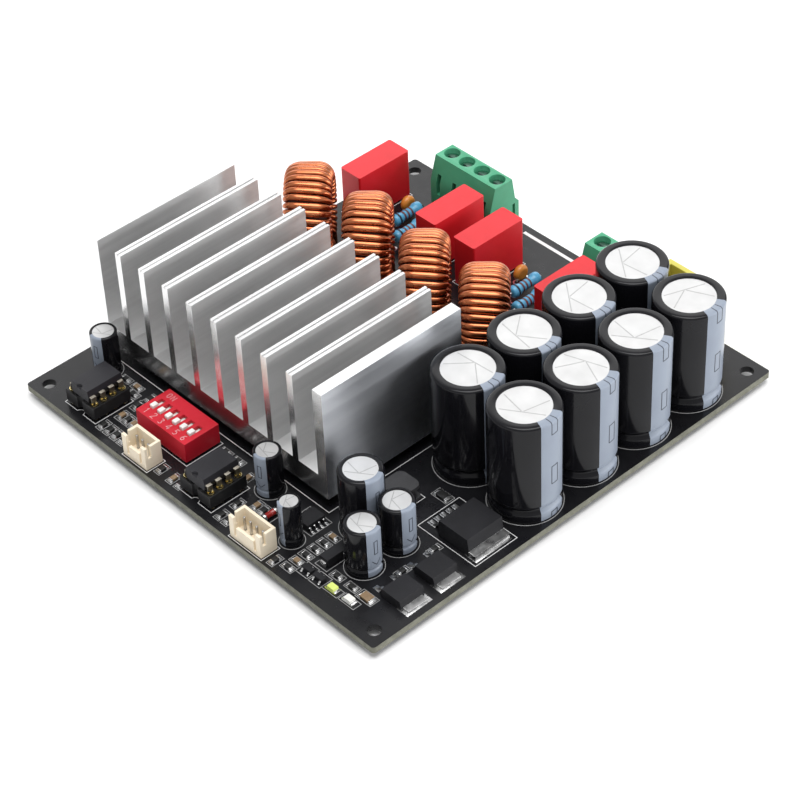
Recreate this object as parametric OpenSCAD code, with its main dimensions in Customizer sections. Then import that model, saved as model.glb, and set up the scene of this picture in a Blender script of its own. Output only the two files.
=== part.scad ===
// Stereo audio power amplifier board with a finned heatsink.
// Millimetres, +Z up, front edge towards -Y.
// The origin is the centre of the four mounting holes, on the underside of the board.

/* [Board] */
// Board thickness
board_t = 1.6; // [1:0.1:2.4]
// Mounting hole diameter
mount_hole_d = 3.2; // [2.6:0.1:4]
// Mounting hole centre to each edge
mount_inset = 3.7; // [3.4:0.1:4.2]
// Clearance all round a lead in its hole
lead_gap = 0.15; // [0.1:0.05:0.3]
// Height of the solder joints under the board
solder_h = 1.6; // [1.2:0.1:2.2]

/* [Layout] */
// Board's left edge to the heatsink
sink_margin = 2.2; // [1:0.1:6]
// Board's front edge to the heatsink
sink_front = 20.8; // [20.4:0.1:30]
// Heatsink to the nearest choke
sink_coil_gap = 4.7; // [0.5:0.1:10]
// Gap between neighbouring chokes, across their rings
coil_gap = 1.475; // [0.4:0.025:4]
// Further gap between the two channels' chokes
coil_channel_gap = 1.35; // [0:0.05:10]
// How far the first choke's corner would pass the board's left edge
coil_overhang = 2.3; // [0:0.05:3]
// Chokes to the film capacitors
coil_film_gap = 1.2; // [0.3:0.05:5]
// Film capacitors to the terminal blocks
film_back_gap = 1.4; // [0.5:0.1:6]
// Bulk capacitors to what stands on their left
bulk_side_gap = 2.25; // [0.6:0.05:8]
// Bulk capacitors to the board's right edge
bulk_margin = 1.4; // [0.6:0.1:5]
// Bulk capacitors to the board's back edge
bulk_back = 9.7; // [9.4:0.1:16]
// Bulk capacitors to the regulator
bulk_reg_gap = 2.5; // [0.6:0.1:8]
// Signal header to the chip parts on its right
front_gap = 1.78; // [0.5:0.02:8]

/* [Heatsink] */
// Width across the fins
sink_w = 76.8; // [60:0.2:110]
// Length along the fins
sink_l = 39.5; // [30:0.5:60]
// Height from the base plate's underside to the fin tips
sink_h = 29; // [16:0.5:45]
// Base plate thickness
sink_base_t = 5.4; // [4:0.1:8]
// Gap between the board and the base plate
sink_lift = 2.8; // [2.2:0.1:4]
// Number of fins
fin_count = 10; // [6:1:13]
// Thickness of the inner fins
fin_t = 1.9; // [1.2:0.1:2.6]
// Thickness of the two outer fins
outer_fin_t = 2.85; // [1.6:0.05:4]
// Width of the groove along each inner fin's tip
fin_groove_w = 0.5; // [0.2:0.1:0.8]
// Diameter of the feet that stand on the board
sink_foot_d = 7; // [6:0.5:9]
// Diameter of the screws up through the board
sink_screw_d = 3; // [2.5:0.5:4]

/* [Amplifier chip] */
// Length of the chip, along its pin rows
amp_l = 14; // [10:0.5:18]
// Width of the chip's body
amp_w = 6.1; // [5:0.1:8]
// Height of the chip
amp_h = 1.2; // [0.9:0.1:1.6]
// Pins on each side
amp_pins = 22; // [8:1:24]

/* [Bulk capacitors] */
// Can diameter
bulk_d = 16.1; // [12.5:0.1:22]
// Can height
bulk_h = 26.5; // [16:0.5:40]
// Lead spacing
bulk_pitch = 7.5; // [5:0.5:7.5]
// Gap between neighbouring cans
bulk_gap = 0.55; // [0.4:0.05:1]

/* [Small capacitors] */
// Diameter of the large supply filter can
filter_big_d = 10; // [8:0.1:10]
// Height of the large supply filter can
filter_big_h = 16.5; // [11:0.5:20]
// Diameter of the two other filter cans
filter_d = 8; // [6.3:0.1:8]
// Height of the two other filter cans
filter_h = 12.4; // [9:0.1:16]
// Diameter of the two signal coupling cans
coupling_d = 6.3; // [5:0.1:7]
// Height of all the coupling cans
coupling_h = 11.4; // [7:0.1:14]
// Diameter of the third, slim coupling can
coupling_slim_d = 5; // [4:0.1:6.3]

/* [Output chokes] */
// Outer radius of the winding, to the wire's centre line
coil_outer_r = 11.1; // [10.5:0.05:12]
// Inner radius of the winding, to the wire's centre line
coil_inner_r = 7; // [6.8:0.05:7.4]
// Half the winding's width along the ring's axis, to the wire's centre line
coil_half_w = 5.2; // [4:0.05:6]
// Corner cut of each turn on the outside of the ring
coil_corner = 2; // [0.8:0.1:2.1]
// Corner cut of each turn inside the ring
coil_inner_corner = 1.3; // [0.8:0.1:1.4]
// Enamelled wire diameter
wire_d = 1.1; // [0.6:0.05:1.1]
// Turns
coil_turns = 36; // [16:1:36]
// Open angle at the foot of the ring
coil_open = 26; // [22:1:60]
// Clearance between wire and core
core_gap = 0.2; // [0.1:0.05:0.5]
// Ring's clearance above the board
coil_lift = 0.4; // [0.3:0.1:2]

/* [Film capacitors] */
// Box thickness
film_w = 6.8; // [5:0.1:8]
// Box length
film_l = 16; // [13:0.1:18]
// Box height
film_h = 13.2; // [9:0.1:18]
// Lead spacing
film_pitch = 12.5; // [7.5:0.5:12.5]

/* [Screw terminals] */
// Distance between poles
pole_pitch = 5.08; // [5.08:0.01:5.4]
// Height of the terminal blocks
block_h = 13.4; // [13:0.1:16]
// Screw head diameter
head_d = 3.6; // [3.2:0.1:3.8]
// Screw shank diameter
shank_d = 2.6; // [2:0.1:2.6]
// Clearance between a screw head and its bore
head_gap = 0.2; // [0.15:0.05:0.3]
// Radial running clearance of a shank in its cage
thread_gap = 0.06; // [0.03:0.01:0.1]
// How far a clamping cage rises
cage_travel = 2.2; // [1.5:0.1:2.2]
// Clearance round a cage in its cell
cage_gap = 0.25; // [0.2:0.05:0.35]

/* [Power plug] */
// Shroud length
plug_l = 18.5; // [17:0.1:20]
// Shroud width
plug_w = 8.4; // [8:0.1:9]
// Shroud height
plug_h = 15.6; // [12:0.1:18]
// Shroud wall thickness
plug_wall = 1.4; // [1:0.1:1.6]
// Distance between the pins
plug_pitch = 7.2; // [6.8:0.1:7.6]
// Pin diameter
plug_pin_d = 3.5; // [3:0.1:3.8]

/* [Slide switches] */
// Spacing of the six sliders
slide_pitch = 2.54; // [2.5:0.01:2.7]
// Slider travel
slide_travel = 1.8; // [1:0.1:2]
// Block width
dip_w = 16.8; // [16:0.1:18]
// Block depth
dip_d = 9.6; // [9.2:0.1:10]
// Block height
dip_h = 5.7; // [5:0.1:7]
// Slider knob width
knob_w = 1.2; // [0.8:0.1:1.4]
// Slider knob length
knob_l = 1.6; // [1:0.1:1.8]
// Clearance round a slider
slide_gap = 0.12; // [0.08:0.02:0.2]

/* [Signal headers] */
// Header height
header_h = 6; // [5:0.1:7]
// Header depth
header_d = 4.5; // [4.2:0.1:5]
// Header wall thickness
header_wall = 0.7; // [0.6:0.05:0.9]

/* [Op-amps] */
// Body length
amp8_l = 9.4; // [9.2:0.1:9.8]
// Body width
amp8_w = 6.35; // [6:0.05:6.5]
// Height of the body's top above the board
amp8_top = 7.3; // [7:0.1:8]
// Contact row spacing
row_gap = 7.62; // [7.62:0.01:7.8]
// Clearance of a contact in the socket frame
contact_gap = 0.05; // [0.03:0.01:0.1]

/* [Hidden] */
$fn = 48;
eps = 0.01;

// Reach of a turned choke either way from its centre, and the spacing that clears its neighbour
coil_reach = (coil_outer_r + coil_half_w + wire_d) * sqrt(1 / 2);
coil_pitch = (2 * coil_half_w + wire_d + coil_gap) * sqrt(2);
coil_xs = [for (i = [0:3]) coil_reach - coil_overhang + i * coil_pitch + (i > 1 ? coil_channel_gap : 0)];
// Small steps out of line between the hand-set chokes
coil_stagger = [2, 0.3, 0.9, 0];

// Row of film capacitors, discs and resistors: gap before each piece and its width, from the left edge
snub_res_d = 3.1;
snub_cap_t = 2;
row_gaps = [3.4, 3.1, 1.05, 1.8, 4.9, 6.1, 2.75, 2, 1.55, 4.65];
row_widths = [
    film_w, snub_cap_t, snub_res_d, snub_res_d, film_w,
    film_w, snub_cap_t, snub_res_d, snub_res_d, film_w
];
function sum_to(v, i) = i < 0 ? 0 : v[i] + sum_to(v, i - 1);
function row_end(i) = sum_to(row_gaps, i) + sum_to(row_widths, i);

// Depths from the back edge: terminals, film capacitors, chokes
pole_back = 4.7;
block_front = -5;
block_back = 4.6;
film_back = pole_back - block_front + film_back_gap;
coil_back = film_back + film_l + coil_film_gap;
coil_depth = coil_back + 2 * coil_reach + max(coil_stagger);

// Files of bulk capacitors, and the regulator in front of them
bulk_step = bulk_d + bulk_gap;
bulk_depth = bulk_back + 3 * bulk_step + bulk_d;
reg_w = 10.1;
reg_front = 36.7;

// Front row: signal headers from the left edge, chip parts from the right edge
header_pitch = 2;
header_x = [38.1, 75.15];
header_pin_count = [3, 4];
function header_w(n) = (n - 1) * header_pitch + 3.9;
chip_l = 2;
chip_w_share = 0.62;
front_chip_x = 32.9;
front_w = header_x[1] + header_w(header_pin_count[1]) / 2 + front_gap + chip_l * chip_w_share / 2 + front_chip_x;

// The board is as large as what stands on it, with the gaps and margins between
left_w = max(sink_margin + sink_w, coil_xs[3] + coil_reach, row_end(9));
board_w = max(left_w + bulk_side_gap + bulk_step + bulk_d + bulk_margin, front_w);
left_d = sink_front + sink_l + sink_coil_gap + coil_depth;
right_d = reg_front + reg_w / 2 + bulk_reg_gap + bulk_depth;
board_d = max(left_d, right_d);

// Each piece keeps its distance from the board edge it is near
function from_left(d) = -board_w / 2 + d;
function from_right(d) = board_w / 2 - d;
function from_front(d) = -board_d / 2 + d;
function from_back(d) = board_d / 2 - d;
function turned(p, a) = [p.x * cos(a) - p.y * sin(a), p.x * sin(a) + p.y * cos(a)];
function pair(p, pitch, a) = [for (s = [-1, 1]) p + turned([s * pitch / 2, 0], a)];
function drilled(points, d) = [for (p = points) [p.x, p.y, d]];

// Heatsink and chip under it
sink_at = [from_left(sink_margin + sink_w / 2), from_front(sink_front + sink_l / 2)];
sink_z = board_t + sink_lift;
fin_gap = (sink_w - 2 * outer_fin_t - (fin_count - 2) * fin_t) / (fin_count - 1);
sink_screw_inset = [9, 8];
sink_screws = [for (x = [-1, 1], y = [-1, 1])
    sink_at + [x * (sink_w / 2 - sink_screw_inset.x), y * (sink_l / 2 - sink_screw_inset.y)]];
sink_tap_h = 3.2;

// Bulk capacitors in two files of four, counted from the back
bulk_spots = [for (i = [0:3], j = [0:1])
    [from_right(bulk_margin + bulk_d / 2 + j * bulk_step), from_back(bulk_back + bulk_d / 2 + i * bulk_step)]];
bulk_lead_d = 0.8;

// Small cans: place, diameter, height, lead spacing, turn of the lead pair
filter_cans = [
    [[from_right(27.5), from_front(22.6)], filter_big_d, filter_big_h, 5, 0],
    [[from_right(18.5), from_front(24.3)], filter_d, filter_h, 3.5, 0],
    [[from_right(18.7), from_front(14.7)], filter_d, filter_h, 3.5, 0]
];
coupling_cans = [
    [[from_left(9.3), from_front(16.2)], coupling_d, coupling_h, 2.5, -90],
    [[from_left(65.3), from_front(16.2)], coupling_d, coupling_h, 2.5, -90],
    [[from_right(35), from_front(9.1)], coupling_slim_d, coupling_h, 2, -90]
];
can_lead_d = 0.6;

// Chokes stand on edge, their ring axes turned to the board's diagonal
coil_turn = -45;
coil_spots = [for (i = [0:3]) [from_left(coil_xs[i]), from_back(coil_back + coil_reach + coil_stagger[i])]];
coil_z = board_t + coil_lift + coil_outer_r + wire_d / 2;
coil_first = -90 + coil_open / 2;
coil_count = (coil_turns - 1) * 8 + 6;
coil_step = (360 - coil_open) / (coil_count - 1);
coil_mid_r = (coil_outer_r + coil_inner_r) / 2;
// One turn as eight corners: radius from the ring's centre, place along its axis
coil_loop = [
    [coil_outer_r - coil_corner, -coil_half_w], [coil_inner_r + coil_inner_corner, -coil_half_w],
    [coil_inner_r, coil_inner_corner - coil_half_w], [coil_inner_r, coil_half_w - coil_inner_corner],
    [coil_inner_r + coil_inner_corner, coil_half_w], [coil_outer_r - coil_corner, coil_half_w],
    [coil_outer_r, coil_half_w - coil_corner], [coil_outer_r, coil_corner - coil_half_w]
];
function coil_angle(i) = coil_first + i * coil_step;
function on_ring(r, y, a) = [r * cos(a), y, r * sin(a)];
function coil_point(i) = on_ring(coil_loop[i % 8].x, coil_loop[i % 8].y, coil_angle(i));
// Direction from the core's middle line out to the wire
function coil_out(i) = unit(coil_point(i) - on_ring(coil_mid_r, 0, coil_angle(i)));
function unit(v) = v / norm(v);
coil_start = coil_point(0);
coil_end = coil_point(coil_count - 1);
coil_path = concat(
    [[coil_start.x, coil_start.y, -coil_z]],
    [for (i = [0:coil_count - 1]) coil_point(i)],
    [[coil_end.x, coil_end.y, -coil_z]]
);
coil_outward = concat([[0, -1, 0]], [for (i = [0:coil_count - 1]) coil_out(i)], [[0, 1, 0]]);
wire_sides = 5;

// Film capacitors and the snubber parts between them
function in_row(i, forward) =
    [from_left(row_end(i) - row_widths[i] / 2), from_back(film_back + film_l / 2 + forward)];
film_spots = [for (i = [0, 4, 5, 9]) in_row(i, 0)];
film_lead_d = 0.8;
snub_res_spots = [in_row(2, 0.4), in_row(3, 4.4), in_row(7, -0.1), in_row(8, 3.4)];
snub_res_pitch = 10.16;
snub_res_l = 8.8;
snub_cap_l = 2.4;
snub_res_lift = 1.3;
snub_cap_spots = [for (i = [1, 6]) in_row(i, -3.3)];
snub_cap_pitch = 2.5;
snub_cap_r = 2;
snub_disc_lift = 0.2;
snub_lead_d = 0.6;

// Screw terminals: pole centres, then sizes inside one cell measured from the board and the screw's axis
speaker_poles = [for (i = [0:3]) [from_left(26.2) + (i - 1.5) * pole_pitch, from_back(pole_back)]];
power_poles = [for (i = [0:1]) [from_left(70.6) + (i - 0.5) * pole_pitch, from_back(pole_back)]];
cell_w = pole_pitch - 1.2;
cell_front = -2.7;
cell_back = 2.6;
cell_floor = 1.1;
cage_w = cell_w - 2 * cage_gap;
cage_front = -1.6;
cage_back = cell_back - cage_gap;
cage_z = cell_floor + cage_gap;
cage_floor_t = 0.9;
window_h = 3.2;
window_w = cage_w - 1;
cage_roof_t = 1.2;
cage_h = cage_floor_t + window_h + cage_roof_t;
cell_top = cage_z + cage_h + cage_travel + cage_gap;
shelf_t = 0.9;
shelf_z = cell_top + shelf_t;
head_h = 1.7;
head_rest = 0.1;
bar_t = 0.6;
bar_top = cage_z + cage_floor_t + window_h - 0.15;
bar_w = window_w - 0.5;
leg_t = 0.6;
leg_w = 1;
leg_y = cell_front + 0.12;
shank_tip = bar_top + 0.15;

// Upright two-pin power plug
plug_at = [from_right(21), from_back(4.75)];
plug_floor = 4.4;
plug_chamfer = 2.3;
plug_tail_d = 1.8;

// Slide switch block
dip_at = [from_left(38.2), from_front(13.2)];
dip_lift = 0.5;
dip_wall = 0.8;
dip_roof = 0.9;
dip_base_t = 1.3;
dip_fit = 0.1;
slide_xs = [for (i = [0:5]) (i - 2.5) * slide_pitch];
slide_rest_y = -slide_travel / 2 - 0.3;
foot_w = slide_pitch - 0.7;
foot_near = knob_l / 2 + 0.5;
foot_far = knob_l / 2 + slide_travel + slide_gap + 0.1;
dip_floor = dip_lift + dip_base_t;
foot_top = dip_h - dip_roof - slide_gap;
dip_leg_w = 0.5;

// Signal headers: centre, number of pins
header_y = [3.25, 3.1];
header_spots = [for (i = [0, 1]) [[from_left(header_x[i]), from_front(header_y[i])], header_pin_count[i]]];
header_pin_w = 0.5;
header_floor = 1.4;
header_pin_y = 0.35;
function header_pins(h) = [for (i = [0:h[1] - 1]) h[0] + [(i - (h[1] - 1) / 2) * header_pitch, header_pin_y]];

// Op-amps in round-contact sockets
amp8_spots = [[from_left(16.5), from_front(8)], [from_left(56.6), from_front(7.8)]];
amp8_pitch = 2.54;
amp8_pins = [for (x = [-1, 1], i = [0:3]) [x * row_gap / 2, (i - 1.5) * amp8_pitch]];
socket_top = 3.8;
contact_top = 4;
contact_d = 1.75;
contact_bore = 0.8;
contact_tail = 0.55;
amp8_bottom = 4.3;
amp8_shoulder = 5.7;

// Surface parts
reg_at = [from_right(9.85), from_front(reg_front)];
dpak_spots = [[from_right(6.85), from_front(23.8)], [from_right(6.85), from_front(14.4)]];
coil_box_at = [from_right(28.4), from_front(34)];
coil_box_w = 6.6;
coil_box_h = 4;
so8_at = [from_right(36.5), from_front(15.6)];
sot_spots = [[from_right(25.8), from_front(5.5)], [from_right(22.3), from_front(5.5)]];
sma_at = [from_right(24.7), from_front(11)];
melf_at = [from_left(71.8), from_front(10.4)];
led_spots = [[from_right(18.1), from_front(5.4)], [from_right(13.2), from_front(5.6)]];
// Chip resistors and capacitors in rows: first place, step, count, turn, length
chip_rows = [
    [[from_left(23.6), from_front(3.7)], [2.4, 0], 4, 90, 2],
    [[from_left(24), from_front(8.6)], [2.1, 0], 3, 90, 2],
    [[from_left(14.9), from_front(16.9)], [4, 0], 2, 0, 2],
    [[from_left(20.1), from_front(14.8)], [1, 0], 1, 0, 2],
    [[from_left(23.8), from_front(13)], [0.3, 3.4], 2, 90, 2],
    [[from_left(44), from_front(3.7)], [1, 0], 1, 90, 2],
    [[from_left(48.1), from_front(3.6)], [2.6, 0], 2, 90, 2],
    [[from_left(49.6), from_front(17)], [4.2, 0], 2, 0, 2],
    [[from_left(59.4), from_front(14.9)], [1, 0], 1, 90, 2],
    [[from_left(64.1), from_front(3.6)], [2.4, 0], 2, 90, 2],
    [[from_left(63.9), from_front(8.2)], [1, 0], 1, 90, 2],
    [[from_left(67.3), from_front(10.7)], [2.2, 0], 2, 90, 2],
    [[from_right(front_chip_x), from_front(2.6)], [1, 0], 1, 90, chip_l],
    [[from_right(29.5), from_front(3.2)], [0, 2.5], 6, 0, 2],
    [[from_right(20.3), from_front(8.7)], [4.5, 0], 2, 0, 2],
    [[from_right(11.4), from_front(8.8)], [1, 0], 1, 0, 3.2],
    [[from_right(11.9), from_front(19)], [0, 9.2], 2, 90, 2],
    [[from_right(22.4), from_front(40.6)], [1, 0], 1, 0, 3.2]
];

// Every lead that passes through the board: place and diameter
leads = concat(
    [for (p = bulk_spots) each drilled(pair(p, bulk_pitch, 0), bulk_lead_d)],
    [for (c = concat(filter_cans, coupling_cans)) each drilled(pair(c[0], c[3], c[4]), can_lead_d)],
    [for (p = coil_spots, e = [coil_start, coil_end])
        [p.x + turned([e.x, e.y], coil_turn).x, p.y + turned([e.x, e.y], coil_turn).y, wire_d]],
    [for (p = film_spots) each drilled(pair(p, film_pitch, 90), film_lead_d)],
    [for (p = snub_res_spots) each drilled(pair(p, snub_res_pitch, 90), snub_lead_d)],
    [for (p = snub_cap_spots) each drilled(pair(p, snub_cap_pitch, 90), snub_lead_d)],
    drilled([for (p = concat(speaker_poles, power_poles)) p + [0, leg_y + leg_t / 2]], norm([leg_w, leg_t])),
    drilled(pair(plug_at, plug_pitch, 0), plug_tail_d),
    drilled([for (x = slide_xs, y = [-1, 1]) dip_at + [x, y * row_gap / 2]], norm([dip_leg_w, 0.3])),
    drilled([for (h = header_spots) each header_pins(h)], header_pin_w * sqrt(2)),
    drilled([for (p = amp8_spots, q = amp8_pins) p + q], contact_tail)
);

// Parts on the board are drawn with z = 0 on its top face
module on_board(p) {
    translate([p.x, p.y, board_t]) children();
}

// A block whose profile (depth, height) runs along X
module along_x(length) {
    translate([-length / 2, 0, 0]) rotate([90, 0, 90]) linear_extrude(length) children();
}

// A block whose profile (width, height) runs along Y
module along_y(length) {
    translate([0, length / 2, 0]) rotate([90, 0, 0]) linear_extrude(length) children();
}

module box(size, z = 0) {
    translate([-size.x / 2, -size.y / 2, z]) cube(size);
}

// Rectangle with round corners
module soft_square(w, d, r) {
    square([w - 2 * r, d], center = true);
    square([w, d - 2 * r], center = true);
    for (x = [-1, 1], y = [-1, 1]) translate([x * (w / 2 - r), y * (d / 2 - r)]) circle(r);
}

// Bent lead from a body's side out to a foot on the board, along +X
module gull(w, reach, drop, t, foot) {
    bend = 0.25 * (reach - foot);
    along_y(w) polygon([
        [-0.4, drop], [bend, drop], [reach - foot, 0], [reach, 0],
        [reach, t], [reach - foot + t * 0.5, t], [bend + t * 0.5, drop + t], [-0.4, drop + t]
    ]);
}

module circuit_board() {
    color("#0d0d10") linear_extrude(board_t) difference() {
        soft_square(board_w, board_d, 0.8);
        for (x = [-1, 1], y = [-1, 1])
            translate([x * (board_w / 2 - mount_inset), y * (board_d / 2 - mount_inset)])
                circle(d = mount_hole_d);
        for (p = sink_screws) translate(p) circle(d = sink_screw_d + 2 * lead_gap);
        for (l = leads) translate([l.x, l.y]) circle(d = l.z + 2 * lead_gap);
    }
}

module solder_joints() {
    color("#c6c8c8") for (l = leads)
        translate([l.x, l.y, -solder_h]) cylinder(h = solder_h, d1 = l.z + 0.2, d2 = l.z + 1.1);
}

// Extruded heatsink: fins on a base plate, a pad milled down to the chip and four tapped feet
module heatsink() {
    color("#b9b6b2") translate([sink_at.x, sink_at.y, sink_z]) difference() {
        union() {
            box([sink_w, sink_l, sink_base_t]);
            for (s = [-1, 1])
                translate([s * (sink_w - outer_fin_t) / 2, 0, 0]) box([outer_fin_t, sink_l, sink_h]);
            for (i = [1:fin_count - 2]) translate([fin_x(i), 0, 0]) box([fin_t, sink_l, sink_h]);
            box([amp_l + 2, amp_w + 3, sink_lift - amp_h + eps], amp_h - sink_lift);
            for (p = sink_screws) translate([p.x - sink_at.x, p.y - sink_at.y, -sink_lift])
                cylinder(h = sink_lift + eps, d = sink_foot_d);
        }
        for (i = [1:fin_count - 2])
            translate([fin_x(i), 0, 0]) box([fin_groove_w, sink_l + 2, 1], sink_h - 0.4);
        for (p = sink_screws) translate([p.x - sink_at.x, p.y - sink_at.y, -sink_lift - 1])
            cylinder(h = sink_lift + sink_tap_h + 1.3, d = sink_screw_d + 0.1);
    }
}

function fin_x(i) = -sink_w / 2 + outer_fin_t + i * fin_gap + (i - 0.5) * fin_t;

module heatsink_screws() {
    color("#8d8f92") for (p = sink_screws) translate([p.x, p.y, 0]) difference() {
        union() {
            translate([0, 0, -solder_h]) cylinder(h = solder_h, d = sink_screw_d * 1.85);
            translate([0, 0, -eps]) cylinder(h = sink_z + sink_tap_h + eps, d = sink_screw_d);
        }
        for (a = [0, 90]) rotate(a) box([sink_screw_d * 1.1, 0.6, 1.8], -solder_h - 1);
    }
}

module amplifier_chip() {
    pitch = (amp_l - 0.6) / amp_pins;
    color("#1c1c1e") on_board(sink_at) {
        box([amp_l, amp_w, amp_h - 0.1], 0.1);
        for (i = [0:amp_pins - 1], s = [0, 180]) rotate(s)
            translate([(i - (amp_pins - 1) / 2) * pitch, amp_w / 2, 0])
                rotate(90) gull(pitch * 0.45, 1, 0.5, 0.18, 0.5);
    }
}

// Aluminium can in a sleeve: crimp groove, round rim, sunken lid with vent scores, two leads
module can(d, h, pitch, lead_d) {
    r = d / 2;
    rim = min(1, d * 0.08);
    lid_r = r - max(0.75, d * 0.13);
    groove_r = d * 0.07;
    difference() {
        rotate_extrude() difference() {
            union() {
                square([r - rim, h]);
                square([r, h - rim]);
                translate([r - rim, h - rim]) circle(rim);
            }
            translate([r + groove_r * 0.4, 0.09 * h + 1]) circle(groove_r);
            translate([0, h - 0.3]) square([lid_r, 1]);
            translate([0, -1]) square([r * 0.82, 1.3]);
        }
        translate([0, 0, h - 0.45]) vent(lid_r * 0.92);
    }
    for (s = [-1, 1]) translate([s * pitch / 2, 0, -board_t]) cylinder(h = board_t + 0.5, d = lead_d);
}

// Scores pressed into the lid: a line with two arms
module vent(r) {
    w = max(0.25, r * 0.06);
    rotate(135) box([2 * r, w, 1]);
    for (a = [10, 80]) rotate(a) translate([0, -w / 2, 0]) cube([r, w, 1]);
}

module bulk_capacitor(i) {
    color("#1a1b1f") on_board(bulk_spots[i]) can(bulk_d, bulk_h, bulk_pitch, bulk_lead_d);
}

module bulk_capacitor_1() bulk_capacitor(0);
module bulk_capacitor_2() bulk_capacitor(1);
module bulk_capacitor_3() bulk_capacitor(2);
module bulk_capacitor_4() bulk_capacitor(3);
module bulk_capacitor_5() bulk_capacitor(4);
module bulk_capacitor_6() bulk_capacitor(5);
module bulk_capacitor_7() bulk_capacitor(6);
module bulk_capacitor_8() bulk_capacitor(7);

module cans(list) {
    for (c = list) on_board(c[0]) rotate(c[4]) can(c[1], c[2], c[3], can_lead_d);
}

module filter_capacitors() color("#1a1b1f") cans(filter_cans);
module coupling_capacitors() color("#1a1b1f") cans(coupling_cans);

// Powder-iron ring with broken edges
module choke_cores() {
    inner = coil_inner_r + wire_d / 2 + core_gap;
    outer = coil_outer_r - wire_d / 2 - core_gap;
    half = coil_half_w - wire_d / 2 - core_gap;
    // Edges broken so that the cut corners of the wire keep the same clearance
    ease = (wire_d / 2 + core_gap) * (2 - sqrt(2));
    cut = max(0, coil_corner - ease);
    cut_in = max(0, coil_inner_corner - ease);
    color("#3f1d14") for (p = coil_spots)
        translate([p.x, p.y, coil_z]) rotate([90, 0, coil_turn]) rotate_extrude() polygon([
            [inner + cut_in, -half], [outer - cut, -half], [outer, cut - half], [outer, half - cut],
            [outer - cut, half], [inner + cut_in, half], [inner, half - cut_in], [inner, cut_in - half]
        ]);
}

// One wire swept along the whole winding, from lead to lead
module choke_winding(k) {
    last = len(coil_path) - 1;
    rings = [for (i = [0:last])
        let (
            ahead = i == last ? coil_path[i] - coil_path[i - 1] : coil_path[i + 1] - coil_path[i],
            behind = i == 0 ? ahead : coil_path[i] - coil_path[i - 1],
            t = unit(unit(ahead) + unit(behind)),
            n = unit(coil_outward[i] - (coil_outward[i] * t) * t),
            b = cross(t, n)
        )
        for (j = [0:wire_sides - 1])
            coil_path[i] + wire_d / 2 * (cos(j * 360 / wire_sides) * n + sin(j * 360 / wire_sides) * b)
    ];
    skin = [for (i = [0:last - 1], j = [0:wire_sides - 1])
        let (a = i * wire_sides + j, b = i * wire_sides + (j + 1) % wire_sides)
        each [[a, b + wire_sides, b], [a, a + wire_sides, b + wire_sides]]
    ];
    ends = [
        [for (j = [0:wire_sides - 1]) j],
        [for (j = [wire_sides - 1:-1:0]) last * wire_sides + j]
    ];
    color("#c8703a") translate([coil_spots[k].x, coil_spots[k].y, coil_z]) rotate([0, 0, coil_turn])
        polyhedron(rings, concat(skin, ends));
}

module choke_winding_1() choke_winding(0);
module choke_winding_2() choke_winding(1);
module choke_winding_3() choke_winding(2);
module choke_winding_4() choke_winding(3);

// Moulded box on two end feet
module film_capacitor(i) {
    color("#c8202c") on_board(film_spots[i]) {
        difference() {
            linear_extrude(film_h) soft_square(film_w, film_l, 0.5);
            box([film_w + 2, film_l - 3, 1.4], -1);
        }
        for (s = [-1, 1]) translate([0, s * film_pitch / 2, -board_t])
            cylinder(h = board_t + 1, d = film_lead_d);
    }
}

module film_capacitor_1() film_capacitor(0);
module film_capacitor_2() film_capacitor(1);
module film_capacitor_3() film_capacitor(2);
module film_capacitor_4() film_capacitor(3);

// Axial resistors: a slim body between two thicker end caps, leads bent down
module snubber_resistors() {
    z = snub_res_d / 2 + snub_res_lift;
    color("#4aa3d8") for (p = snub_res_spots) on_board(p) translate([0, 0, z]) {
        rotate([90, 0, 0]) {
            cylinder(h = snub_res_l - 1, d = snub_res_d * 0.8, center = true);
            for (s = [-1, 1]) translate([0, 0, s * (snub_res_l - snub_cap_l) / 2]) {
                cylinder(h = snub_cap_l - 0.8, d = snub_res_d, center = true);
                cylinder(h = snub_cap_l, d = snub_res_d - 0.5, center = true);
            }
            cylinder(h = snub_res_pitch, d = snub_lead_d, center = true);
        }
        for (s = [-1, 1]) translate([0, s * snub_res_pitch / 2, 0]) {
            sphere(d = snub_lead_d);
            translate([0, 0, -z - board_t]) cylinder(h = z + board_t, d = snub_lead_d);
        }
    }
}

// Dipped discs on two leads
module snubber_capacitors() {
    r = snub_cap_r;
    t = snub_cap_t;
    color("#d9822b") for (p = snub_cap_spots) on_board(p) {
        translate([0, 0, r + snub_disc_lift]) rotate([0, 90, 0]) rotate_extrude() {
            translate([0, -t / 2]) square([r - t / 2, t]);
            translate([r - t / 2, 0]) intersection() {
                circle(t / 2);
                translate([0, -t]) square(2 * t);
            }
        }
        for (s = [-1, 1]) translate([0, s * snub_cap_pitch / 2, -board_t])
            cylinder(h = board_t + r, d = snub_lead_d);
    }
}

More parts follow.
